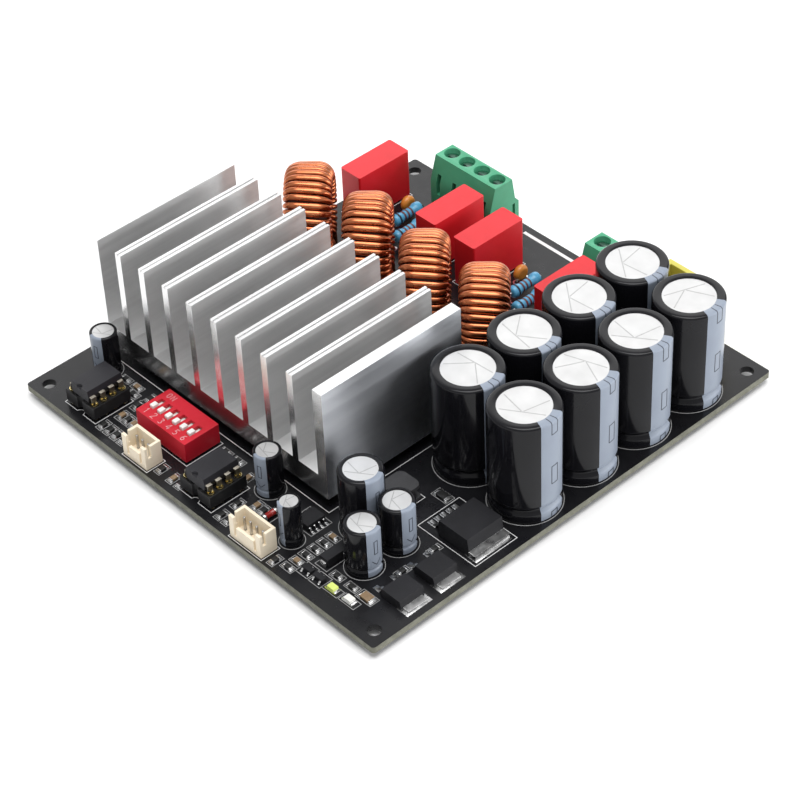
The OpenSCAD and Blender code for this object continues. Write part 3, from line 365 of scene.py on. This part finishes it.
def dress(node, mats, pick=None, bevel=0.0, segments=2):
    """Gives a CAD node its materials, face by face where pick(centre, normal) says, and soft edges."""
    obj = nodes[node]
    mesh = obj.data
    mesh.materials.clear()
    for mat in mats:
        mesh.materials.append(mat)
    chosen = [pick(p.center * 1000, p.normal) if pick else 0 for p in mesh.polygons]
    mesh.polygons.foreach_set("material_index", chosen)
    if not bevel:
        return
    weld = obj.modifiers.new("weld", "WELD")
    weld.merge_threshold = 2e-6
    soft = obj.modifiers.new("soft_edges", "BEVEL")
    soft.width = bevel / 1000
    soft.segments = segments
    soft.limit_method = "ANGLE"
    soft.angle_limit = math.radians(35)
    if "custom_normal" in mesh.attributes:
        mesh.attributes.remove(mesh.attributes["custom_normal"])
    mesh.polygons.foreach_set("use_smooth", [True] * len(mesh.polygons))
    even = obj.modifiers.new("even_normals", "WEIGHTED_NORMAL")
    even.weight = 90
    even.keep_sharp = False


def bare_ends(node, kind, end):
    """A pick for parts with bare ends. kind(index, size) gives axis, half the body and its material."""
    pairs = islands(node)

    def pick(c, normal):
        near = min(range(len(pairs)), key=lambda i: (middle(pairs[i]) - c).length)
        axis, half, mat = kind(near, pairs[near][1] - pairs[near][0])
        return end if abs(c[axis] - middle(pairs[near])[axis]) > half else mat

    return pick


# Board: mask on the faces and in the holes, bare laminate on the rim

RIM_MARGIN = 0.9


def board_face(c, n):
    """Laminate on upright faces near the rim, mask elsewhere."""
    inside = all(BOARD_LOW[i] + RIM_MARGIN < c[i] < BOARD_HIGH[i] - RIM_MARGIN for i in (0, 1))
    return 0 if inside or abs(n.z) > 0.5 else 1


dress("circuit_board", [MASK, LAMINATE], board_face)


# Solder joints, drawn up round each lead

FILLET_WIDE, FILLET_HIGH, FILLET_CURVE = 0.45, 1.35, 2.2


def solder_joints(bm):
    for lo, hi in islands("solder_joints"):
        base = (hi.x - lo.x) / 2
        tip = base - FILLET_WIDE
        profile = [(0, 0, 0), (base, 0, 0)]
        for k in range(1, 7):
            u = k / 6
            profile.append((tip + (base - tip) * (1 - u) ** FILLET_CURVE, -FILLET_HIGH * u, 0))
        profile += [(tip * 0.75, -1.52, 0), (tip * 0.35, -1.6, 0), (0, UNDER, 0)]
        revolve(bm, profile, (*middle((lo, hi)).xy, 0), steps=14)


piece("solder_fillets", solder_joints, [SOLDER], replaces=["solder_joints"], smooth=60)


# Electrolytic cans: sleeve with its stripe, crimp, lid with pressed scores drawn as raised grey lines,
# painted shade of the grooves

CAN_MATS = [SLEEVE, STRIPE, LID, RUBBER, STRIPE_INK, SCORE_SHADE]
SKIN, BAND, TOP, BUNG, INK, SCORE_SHADING = range(len(CAN_MATS))
CAN_STEPS, LID_SUNK, SCORE_THICK, MARK_STEP = 180, 0.14, 0.015, 0.3
# Vent scores on a lid of radius 1: a stem and two arms
VENT = (((-0.38, -0.84), (-0.38, 0.84)), ((-0.34, -0.04), (0.41, -0.82)), ((-0.34, 0.04), (0.41, 0.82)))


def can(bm, pair, stripe_at, stripe_half, vent_turn, marks):
    """One can on the board. Its stripe faces stripe_at degrees and bears marks, (width, points) lines."""
    lo, hi = pair
    x, y, _ = middle(pair)
    d, h = hi.x - lo.x, hi.z - BOARD_TOP
    r = d / 2
    rim = min(0.6, d * 0.06)
    lid_r = r - 0.1457 * d + 0.196
    lid_z = h - LID_SUNK
    profile = [(0, 0.35, BUNG), (r * 0.8, 0.35, BUNG), (r * 0.84, 0.03, SKIN), (r - 0.35, 0.03, SKIN),
               (r - 0.08, 0.25, SKIN)]
    crimp_z, crimp_half, crimp_deep = 0.09 * h + 1, 0.08 * d, 0.042 * d
    for k in range(15):
        t = k / 7 - 1
        pinch = crimp_deep * (0.5 + 0.5 * math.cos(math.pi * t))
        profile.append((r - pinch, crimp_z + crimp_half * t, SKIN))
    for k in range(7):
        a = math.pi / 2 * k / 6
        profile.append((r - rim + rim * math.cos(a), h - rim + rim * math.sin(a), SKIN))
    profile += [(lid_r + 0.22, h, SKIN), (lid_r + 0.08, h - 0.03, SKIN), (lid_r, lid_z, TOP), (0, lid_z, TOP)]

    def paint(mat, angle):
        off = (angle - stripe_at + 180) % 360 - 180
        return BAND if mat == SKIN and abs(off) < stripe_half else mat

    revolve(bm, profile, (x, y, BOARD_TOP), CAN_STEPS, paint)

    def on_skin(u, s, lift):
        """A place on the stripe: u round the can, s up the side, then over the rim and in."""
        over = s - (h - rim)
        bend = min(max(over / rim, 0), math.pi / 2)
        inward = max(over - rim * math.pi / 2, 0)
        out = r - rim + (rim + lift) * math.cos(bend) - inward
        up = min(s, h - rim) + (rim + lift) * math.sin(bend)
        a = math.radians(stripe_at) + u / r
        return Vector((x + out * math.cos(a), y + out * math.sin(a), BOARD_TOP + up))

    for width, points in marks:
        for v in ribbon(bm, dense(points, MARK_STEP), width, mat=INK):
            v.co = on_skin(*v.co)
    turned = Matrix.Rotation(math.radians(vent_turn), 2) * lid_r
    # Scores: thin raised ribbons in grey, painted shade of the pressed grooves.
    for score in VENT:
        ends = [Vector((x, y)) + turned @ Vector(end) for end in score]
        ribbon(bm, ends, 0.12 + 0.02 * lid_r, BOARD_TOP + lid_z, SCORE_THICK, mat=SCORE_SHADING)


def boxed(wide, low, high):
    """A long rectangle on a stripe."""
    return [(-wide, low), (wide, low), (wide, high), (-wide, high), (-wide, low)]


def cup(wide, open_end, closed_end):
    """A rectangle on a stripe without one of its ends."""
    return [(-wide, open_end), (-wide, closed_end), (wide, closed_end), (wide, open_end)]


# Directions of the stripes and of the scores' open sides, in degrees
BULK_STRIPES = (7.2, 2.4, 5.5, 5.1, 9, 6, 5.3, 4.3)
BULK_VENTS = (-21, 52, 125, 51, -71, 81, 123, -86)
BULK_STRIPE_HALF, BULK_INK, BULK_MARK_HALF = 25, 0.2, 0.9
for i, (stripe_at, vent_turn) in enumerate(zip(BULK_STRIPES, BULK_VENTS)):
    name = "bulk_capacitor_%d" % (i + 1)
    shift = 0.5 * math.sin(2.1 * i)
    lines = (boxed(BULK_MARK_HALF, 9.6 + shift, 14.4 + shift), cup(BULK_MARK_HALF, 28.1, 23.2 + shift),
             cup(BULK_MARK_HALF, 0.4, 1.7))
    marks = [(BULK_INK, points) for points in lines]
    piece("bulk_can_%d" % (i + 1),
          lambda bm: can(bm, box(name), stripe_at, BULK_STRIPE_HALF, vent_turn, marks),
          CAN_MATS, replaces=[name])


SMALL_STRIPE_HALF, SMALL_INK = 31, 0.16
SMALL_VENT, SMALL_VENT_STEP = 125, -45


def small_cans(node, stripes):
    """A build of all cans in a node, their stripes facing the given ways."""
    def build(bm):
        for k, (pair, stripe_at) in enumerate(zip(islands(node), stripes)):
            h = pair[1].z - BOARD_TOP
            arrow = [(-1.1, 0.36 * h), (0, 0.26 * h), (1.1, 0.36 * h)]
            marks = [(SMALL_INK, points) for points in (boxed(0.45, 0.5 * h, 0.78 * h), arrow)]
            can(bm, pair, stripe_at, SMALL_STRIPE_HALF, SMALL_VENT + SMALL_VENT_STEP * k, marks)
    return build


piece("filter_cans", small_cans("filter_capacitors", (0, 0, 0)), CAN_MATS,
      replaces=["filter_capacitors"])
piece("coupling_cans", small_cans("coupling_capacitors", (-77, -77, -104)), CAN_MATS,
      replaces=["coupling_capacitors"])


# Choke windings: the CAD path with round corners, the wire pressed a little flat on the rim

WIRE, WIRE_SIDES, OUTER, INNER, HALF, TURNS, OPEN = 1.1, 16, 11.1, 7.0, 5.2, 36, 26
RIM_ROUND, RIM_SIDE, RIM_SPREAD, BORE_ROUND = 2.6, 3.2, 0.42, 1.3
LEAD_RADIUS = OUTER - 2
RING_TURN = -45


def bend(r, y, round_r, round_y, first, steps):
    """A quarter turn of wire at a corner of the winding's section, as (radius, axial place) points."""
    sides = [(0, math.copysign(1, y)), (math.copysign(1, -round_r), 0)]
    if not first:
        sides.reverse()
    points = []
    for k in range(steps + 1):
        a = math.pi / 2 * k / steps
        u = [math.cos(a) * p + math.sin(a) * q for p, q in zip(*sides)]
        points.append((r + round_r + abs(round_r) * u[0], y - math.copysign(round_y, y) + round_y * u[1]))
    return points


ONE_TURN = (bend(INNER, -HALF, BORE_ROUND, BORE_ROUND, True, 4)
            + bend(INNER, HALF, BORE_ROUND, BORE_ROUND, False, 4)
            + bend(OUTER, HALF, -RIM_ROUND, RIM_SIDE, True, 7)
            + bend(OUTER, -HALF, -RIM_ROUND, RIM_SIDE, False, 7))
BORE_POINTS = 10  # in the two bends of the bore, where the last turn ends


def winding(name, seed):
    """One choke's wire from lead to lead, round its core."""
    near = middle(box(name))
    core = min((middle(pair) for pair in islands("choke_cores")), key=lambda m: (m - near).length)
    lengths = [0.0]
    for p, q in zip(ONE_TURN, ONE_TURN[1:] + ONE_TURN[:1]):
        lengths.append(lengths[-1] + math.dist(p, q))
    per = len(ONE_TURN)
    total = TURNS - 1 + lengths[BORE_POINTS - 1] / lengths[-1]
    path, out, wide = [], [], []
    for i in range((TURNS - 1) * per + BORE_POINTS):
        r, y = ONE_TURN[i % per]
        done = i // per + lengths[i % per] / lengths[-1]
        a = math.radians(-90 + OPEN / 2 + (360 - OPEN) * done / total)
        stray = 0.1 * math.sin(2.3 * done + seed) + 0.06 * math.sin(5.1 * done + 2 * seed)
        a += stray / OUTER
        ray = Vector((math.cos(a), 0, math.sin(a)))
        p = ray * r + Vector((0, y, 0))
        path.append(p)
        out.append(p - ray * (OUTER + INNER) / 2)
        wide.append(1 + RIM_SPREAD * max(0, 1 - (OUTER - r) / RIM_ROUND))
    for end, side in ((0, -1), (-1, 1)):
        a = math.atan2(path[end].z, path[end].x)
        foot = Vector((LEAD_RADIUS * math.cos(a), side * HALF, LEAD_RADIUS * math.sin(a)))
        lead = [Vector((foot.x, foot.y, -core.z)), foot + Vector((0, 0, -0.4)), foot.lerp(path[end], 0.15)]
        facing = [Vector((0, side, 0))] * 3
        path = lead + path if end == 0 else path + lead[::-1]
        out = facing + out if end == 0 else out + facing
        wide = [1, 1, 1] + wide if end == 0 else wide + [1, 1, 1]
    turn = Matrix.Rotation(math.radians(RING_TURN), 3, "Z")
    path = [turn @ p + core for p in path]
    out = [turn @ q for q in out]
    piece("wire_" + name, lambda bm: sweep(bm, path, out, wide, WIRE / 2, WIRE_SIDES), [COPPER],
          replaces=[name], smooth=70)


for i in range(4):
    winding("choke_winding_%d" % (i + 1), 1.7 * i)
dress("choke_cores", [CORE])


# Heatsink: extruded fins, outer walls with drawn-out reflections in a lighter, bluer copy of the fins'
# aluminium as painted light, sawn ends

SINK_LOW, SINK_HIGH = box("heatsink")
SINK_MATS = [EXTRUDED, SAWN, WALL_LIT_ALUMINIUM]
FINS, ENDS, WALLS = range(len(SINK_MATS))


def sink_face(c, n):
    """Sawn ends, outer walls lightened as painted light, and the fins between."""
    if abs(n.y) > 0.5:
        return ENDS
    return WALLS if min(c.x - SINK_LOW.x, SINK_HIGH.x - c.x) < 0.05 else FINS


dress("heatsink", SINK_MATS, sink_face, bevel=0.12)
dress("heatsink_screws", [STEEL], bevel=0.12)


# Moulded parts that keep their CAD shape

for i in range(4):
    dress("film_capacitor_%d" % (i + 1), [FILM], bevel=0.45, segments=3)
for node in ("speaker_terminal_housing", "power_terminal_housing"):
    dress(node, [GREEN], bevel=0.15)
for node in nodes:
    if "_cage_" in node or "_screw_" in node:
        dress(node, [STEEL], bevel=0.08)
dress("connector_pins", [TIN], bevel=0.05)
dress("power_plug_housing", [YELLOW], bevel=0.2, segments=3)
dress("power_plug_pins", [GOLD], bevel=0.08)
dress("dip_switch_case", [RED], bevel=0.12)
dress("dip_switch_base", [BLACK, TIN], lambda c, n: 1 if c.z < BOARD_TOP + 0.45 else 0)
for i in range(6):
    dress("dip_slider_%d" % (i + 1), [WHITE], bevel=0.18, segments=3)
dress("signal_headers", [CREAM], bevel=0.1)
dress("op_amp_sockets", [BLACK], bevel=0.1)
dress("amplifier_chip", [EPOXY])
dress("power_inductor", [FERRITE], bevel=0.15)

CONTACTS = [middle(pair) for pair in islands("socket_contacts")]


def contact_face(c, n):
    """Bright gold on rims and outsides, darker gold painted as shade in the bores."""
    axis = min(CONTACTS, key=lambda m: (m.xy - c.xy).length)
    return 1 if n.z < 0.3 and n.xy.dot(c.xy - axis.xy) < 0 else 0


dress("socket_contacts", [GOLD, GOLD_SHADED], contact_face)
# The op-amp legs take the tin darkened with painted shade.
dress("op_amps", [EPOXY_PALE, SHADED_LEG], bare_ends("op_amps", lambda k, size: (0, 3.2, 0), 1), bevel=0.08)


def package(k, size):
    """Chips by their outlines: eight leads, diode, glass diode, transistors."""
    if size.x > 5:
        return 0, 1.96, 0
    if size.y > 4.5:
        return 1, 2.16, 0
    return (1, 1.25, 2) if size.y > 3 else (1, 0.66, 0)


dress("small_semiconductors", [EPOXY, SOLDER, GLASS_RED], bare_ends("small_semiconductors", package, 1),
      bevel=0.06)
dress("leds", [LENS_GREEN, LENS_WHITE, SOLDER], bare_ends("leds", lambda k, size: (0, 1.05, k), 2), bevel=0.1)

# Power packages: corners, body's middle from the ends of the leads, half the body's length
BIG_BODY, SMALL_BODY, BIG_WIDTH = (8.65, 4.56), (5.45, 3.06), 8
POWER = [(pair, *(BIG_BODY if pair[1].y - pair[0].y > BIG_WIDTH else SMALL_BODY))
         for pair in islands("voltage_regulators")]


def power_face(c, n):
    """Epoxy body between its leads and its tab."""
    pair, reach, half = min(POWER, key=lambda p: (middle(p[0]) - c).length)
    return 0 if abs(c.x - pair[0].x - reach) <= half and c.z > BOARD_TOP + 0.05 else 1


dress("voltage_regulators", [EPOXY, TIN], power_face, bevel=0.08)
dress("snubber_capacitors", [ORANGE, TIN], lambda c, n: 1 if c.z < BOARD_TOP + 0.2 else 0)


# Axial resistors: dipped body with thick ends and painted bands, leads bent down

# Half of the body as (distance from its middle, radius), and the bands as (place, material)
RESISTOR_HALF = [(0.0, 1.2), (1.75, 1.2), (2.05, 1.27), (2.35, 1.45), (2.7, 1.54), (3.3, 1.55), (3.8, 1.5),
                 (4.15, 1.36), (4.34, 1.1), (4.4, 0.7), (4.4, 0.3)]
RESISTOR_MATS = [BLUE, BROWN, BAND_BLACK, TIN]
BANDS = ((-2.95, 2), (-1.3, 1), (-0.2, 1), (1.0, 1))
BAND_HALF = 0.27
LEAD_START, LEAD_HALF, LEAD_BEND = 4.2, 0.3, 0.5
RESISTOR_SIDES, LEAD_SIDES = 36, 10


def resistors(bm):
    ends = {mid + s * BAND_HALF for mid, _ in BANDS for s in (-1, 1)}
    along = sorted({s * a for a, _ in RESISTOR_HALF for s in (-1, 1)} | ends)

    def thickness(v):
        v = abs(v)
        for (a, p), (b, q) in zip(RESISTOR_HALF, RESISTOR_HALF[1:]):
            if a <= v <= b and b > a:
                return p + (q - p) * (v - a) / (b - a)
        return RESISTOR_HALF[-1][1]

    for lo, hi in islands("snubber_resistors"):
        x, y, _ = middle((lo, hi))
        z = hi.z - (hi.x - lo.x) / 2
        rings = []
        for v in along:
            rad = thickness(v)
            ring = [(x + rad * math.cos(a), y + v, z + rad * math.sin(a)) for a in around(RESISTOR_SIDES)]
            rings.append([bm.verts.new(place) for place in ring])
        for low, high, a, b in zip(rings, rings[1:], along, along[1:]):
            paint = next((mat for mid, mat in BANDS if abs((a + b) / 2 - mid) < BAND_HALF), 0)
            tube(bm, [low, high], paint)
        bm.faces.new(rings[0])
        bm.faces.new(rings[-1])
        start = len(bm.faces)
        for s in (-1, 1):
            far = y + s * (hi.y - lo.y - 2 * LEAD_HALF) / 2
            path = [Vector((x, y + s * LEAD_START, z))]
            for k in range(5):
                a = math.pi / 2 * k / 4
                down, across = LEAD_BEND * (1 - math.cos(a)), LEAD_BEND * (1 - math.sin(a))
                path.append(Vector((x, far - s * across, z - down)))
            path.append(Vector((x, far, 0)))
            sweep(bm, path, [Vector((1, 0, 0))] * len(path), [1] * len(path), LEAD_HALF, LEAD_SIDES)
        bm.faces.ensure_lookup_table()
        for f in bm.faces[start:]:
            f.material_index = RESISTOR_MATS.index(TIN)


piece("axial_resistors", resistors, RESISTOR_MATS, replaces=["snubber_resistors"])


# Chip parts: a body between wrapped ends, on soldered pads

CHIP_MATS = [TAN, FILM_BLACK, SOLDER]
TAN_BODY, BLACK_BODY, SOLDERED = range(len(CHIP_MATS))


def chips(bm):
    for k, (lo, hi) in enumerate(islands("chip_passives")):
        c = middle((lo, hi))
        along_x = hi.x - lo.x > hi.y - lo.y
        h, w = sorted(((hi.x - lo.x) / 2, (hi.y - lo.y) / 2), reverse=True)

        def put(a, b, half, low, high, mat, bevel):
            a, b = sorted((a, b))
            corners = [(a, -half, low), (b, half, high)]
            corners = corners if along_x else [(q, p, z) for p, q, z in corners]
            block(bm, *[(c.x + p, c.y + q, BOARD_TOP + z) for p, q, z in corners], mat, bevel)

        put(0.25 - h, h - 0.25, w - 0.03, 0.04, 0.57, TAN_BODY if k % 4 == 1 else BLACK_BODY, 0.05)
        for s in (-1, 1):
            put(s * (h - 0.3), s * h, w, 0.02, 0.6, SOLDERED, 0.08)
            put(s * (h - 0.45), s * (h + 0.4), w + 0.08, 0.0, 0.05, SOLDERED, 0.015)
            put(s * (h - 0.1), s * (h + 0.25), w - 0.02, 0.02, 0.34, SOLDERED, 0.16)


piece("chip_parts", chips, CHIP_MATS, replaces=["chip_passives"])


# Ink on the board: outlines round the parts

SILK_MATS = [SILK, SILK_FAINT]
STRONG, FAINT = range(len(SILK_MATS))
SOCKET_HALF, NOTCH = 5.4, 1
INK_BAR, INK_BAR_WIDTH = [(-17.3, 57.6), (3, 57.6)], 0.9


def outlines(bm):
    def line(points, width=0.16, closed=True, mat=STRONG):
        ribbon(bm, points, width, BOARD_TOP, closed=closed, mat=mat)

    line(rectangle(*box("heatsink"), 0.7), 0.18)
    for i in range(8):
        lo, hi = box("bulk_capacitor_%d" % (i + 1))
        line(circle(middle((lo, hi)), (hi.x - lo.x) / 2 + 0.22, 96), 0.17, mat=FAINT)
    for lo, hi in islands("filter_capacitors") + islands("coupling_capacitors"):
        line(circle(middle((lo, hi)), (hi.x - lo.x) / 2 + 0.35), 0.15, mat=FAINT)
    for pair in [box("dip_switch_case")] + islands("signal_headers") + islands("power_inductor"):
        line(rectangle(*pair, 0.35))
    for i in range(4):
        line(rectangle(*box("film_capacitor_%d" % (i + 1)), 0.3))
    for pair, *body in POWER:
        if tuple(body) == BIG_BODY:
            line(rectangle(*pair, 1.1, 1.0))
    for pair in islands("op_amp_sockets"):
        x, y, _ = middle(pair)
        left, right, front, back = x - SOCKET_HALF, x + SOCKET_HALF, y - SOCKET_HALF, y + SOCKET_HALF
        start, end = (x - NOTCH, front), (x + NOTCH, front)
        line([start, (left, front), (left, back), (right, back), (right, front), end], closed=False)
        angles = [math.pi * k / 12 for k in range(13)]
        line([(x + NOTCH * math.cos(a), front + NOTCH * math.sin(a)) for a in angles], closed=False)
    for pair in islands("chip_passives") + islands("leds"):
        wide = pair[1].x - pair[0].x > pair[1].y - pair[0].y
        line(rectangle(*pair, *((0.7, 0.32) if wide else (0.32, 0.7))), 0.12, mat=FAINT)
    for pair in islands("small_semiconductors"):
        line(rectangle(*pair, 0.5), 0.13, mat=FAINT)
    line(INK_BAR, INK_BAR_WIDTH, closed=False)


piece("silk_outlines", outlines, SILK_MATS)


# Tinned copper: rings round the leads, pads under surface parts

PAD_THICK, RING_THICK, RING_WIDTH = 0.05, 0.025, 0.4
BIG_LEADS = [(k - 2) * 1.7 for k in range(5)]
SMALL_LEADS = [-2.3, 2.3]


def pads(bm):
    def pad(x0, y0, x1, y1):
        block(bm, (x0, y0, BOARD_TOP), (x1, y1, BOARD_TOP + PAD_THICK))

    for lo, hi in islands("solder_joints"):
        ring = circle(middle((lo, hi)), (hi.x - lo.x) / 2 - 0.06, 24)
        ribbon(bm, ring, RING_WIDTH, BOARD_TOP, RING_THICK, closed=True)
    for (lo, hi), reach, half in POWER:
        y = middle((lo, hi)).y
        tab_side = hi.x - lo.x - reach
        pad(lo.x + reach + half - 1.2, lo.y - 0.2, hi.x + 0.5, hi.y + 0.2)
        for row in BIG_LEADS if (reach, half) == BIG_BODY else SMALL_LEADS:
            pad(lo.x - 0.4, y + row - 0.6, lo.x + tab_side * 0.3, y + row + 0.6)
    for lo, hi in islands("small_semiconductors"):
        if hi.x - lo.x > 5:
            for k in range(4):
                y = middle((lo, hi)).y + (k - 1.5) * 1.27
                pad(lo.x - 0.4, y - 0.3, lo.x + 0.7, y + 0.3)
                pad(hi.x - 0.7, y - 0.3, hi.x + 0.4, y + 0.3)


piece("tinned_pads", pads, [SOLDER])


# Numbers and ON on the switch block

GLYPHS = {
    "1": [(0.25, 0.75), (0.5, 1), (0.5, 0)],
    "2": [(0.1, 0.8), (0.3, 1), (0.7, 1), (0.85, 0.75), (0.1, 0), (0.9, 0)],
    "3": [(0.1, 0.9), (0.4, 1), (0.8, 0.85), (0.5, 0.53), (0.85, 0.25), (0.5, 0), (0.1, 0.1)],
    "4": [(0.7, 0), (0.7, 1), (0.1, 0.3), (0.95, 0.3)],
    "5": [(0.85, 1), (0.2, 1), (0.15, 0.55), (0.6, 0.6), (0.85, 0.3), (0.6, 0), (0.1, 0.05)],
    "6": [(0.8, 0.95), (0.35, 0.8), (0.12, 0.35), (0.35, 0), (0.75, 0.05), (0.85, 0.35), (0.55, 0.55),
          (0.15, 0.4)],
    "O": [(0.5, 1), (0.15, 0.8), (0.15, 0.2), (0.5, 0), (0.85, 0.2), (0.85, 0.8), (0.5, 1)],
    "N": [(0.12, 0), (0.12, 1), (0.88, 0), (0.88, 1)],
}
SLIDER_PITCH, FIGURE, WORD = 2.54, 1.6, 1.5


def switch_marks(bm):
    pair = box("dip_switch_case")
    x, y, _ = middle(pair)

    def write(letter, u, v, size):
        points = [(u + p * 0.7 * size, v + q * size) for p, q in GLYPHS[letter]]
        ribbon(bm, points, 0.1 * size, pair[1].z, 0.02)

    for k in range(6):
        write(str(k + 1), x + (k - 2.5) * SLIDER_PITCH - 0.5, y - 4.2, FIGURE)
    write("O", x - 7.0, y + 2.5, WORD)
    write("N", x - 5.6, y + 2.5, WORD)


piece("switch_marks", switch_marks, [SWITCH_INK])


# Floor, light, camera

FLOOR_HALF = 3.0


def stage_floor():
    mesh = bpy.data.meshes.new("floor")
    s = FLOOR_HALF
    corners = ((-s, -s), (s, -s), (s, s), (-s, s))
    mesh.from_pydata([(x, y, cad_box[0].z) for x, y in corners], [], [(0, 1, 2, 3)])
    obj = bpy.data.objects.new("floor", mesh)
    bpy.context.scene.collection.objects.link(obj)
    mat, tree, shader = material("floor_paper", rough=0.8)
    tint(tree, shader, noise(tree, 60), (0.88, 0.88, 0.88), (0.91, 0.91, 0.91))
    mesh.materials.append(mat)


stage_floor()


def area(name, place, size, power):
    """A soft light facing the board."""
    data = bpy.data.lights.new(name, "AREA")
    data.shape = "RECTANGLE"
    data.size, data.size_y = size
    data.energy = power
    obj = bpy.data.objects.new(name, data)
    obj.location = place
    obj.rotation_euler = (-Vector(place)).to_track_quat("-Z", "Y").to_euler()
    bpy.context.scene.collection.objects.link(obj)


area("overhead", (0.1, 0.0, 0.9), (0.7, 0.7), 7.4)
area("back_left", (-0.72, 0.65, 0.42), (1.3, 0.8), 5.0)
area("right", (0.92, 0.68, 0.24), (0.9, 0.46), 6.6)

world = bpy.data.worlds.new("studio")
world.use_nodes = True
world.node_tree.nodes["Background"].inputs["Color"].default_value = (1, 1, 1, 1)
world.node_tree.nodes["Background"].inputs["Strength"].default_value = 0.55
bpy.context.scene.world = world
bpy.context.scene.view_settings.view_transform = "Standard"

# Camera fitted to the board's corners in the photograph
CAMERA_AT = Vector((0.334677, -0.291883, 0.379490 + BOARD_TOP / 1000))
LENS, SENSOR = 117.63, 36
spin = Vector((2.1452387515, 0.9122188316, -0.4622695919))
seen = Matrix.Rotation(spin.length, 3, spin.normalized())
camera_data = bpy.data.cameras.new("camera")
camera_data.sensor_width = SENSOR
camera_data.lens = LENS
camera_data.clip_start, camera_data.clip_end = 0.01, 20
camera = bpy.data.objects.new("camera", camera_data)
turn = Matrix((seen[0], -seen[1], -seen[2])).transposed()
camera.matrix_world = Matrix.Translation(CAMERA_AT) @ turn.to_4x4()
bpy.context.scene.collection.objects.link(camera)
bpy.context.scene.camera = camera
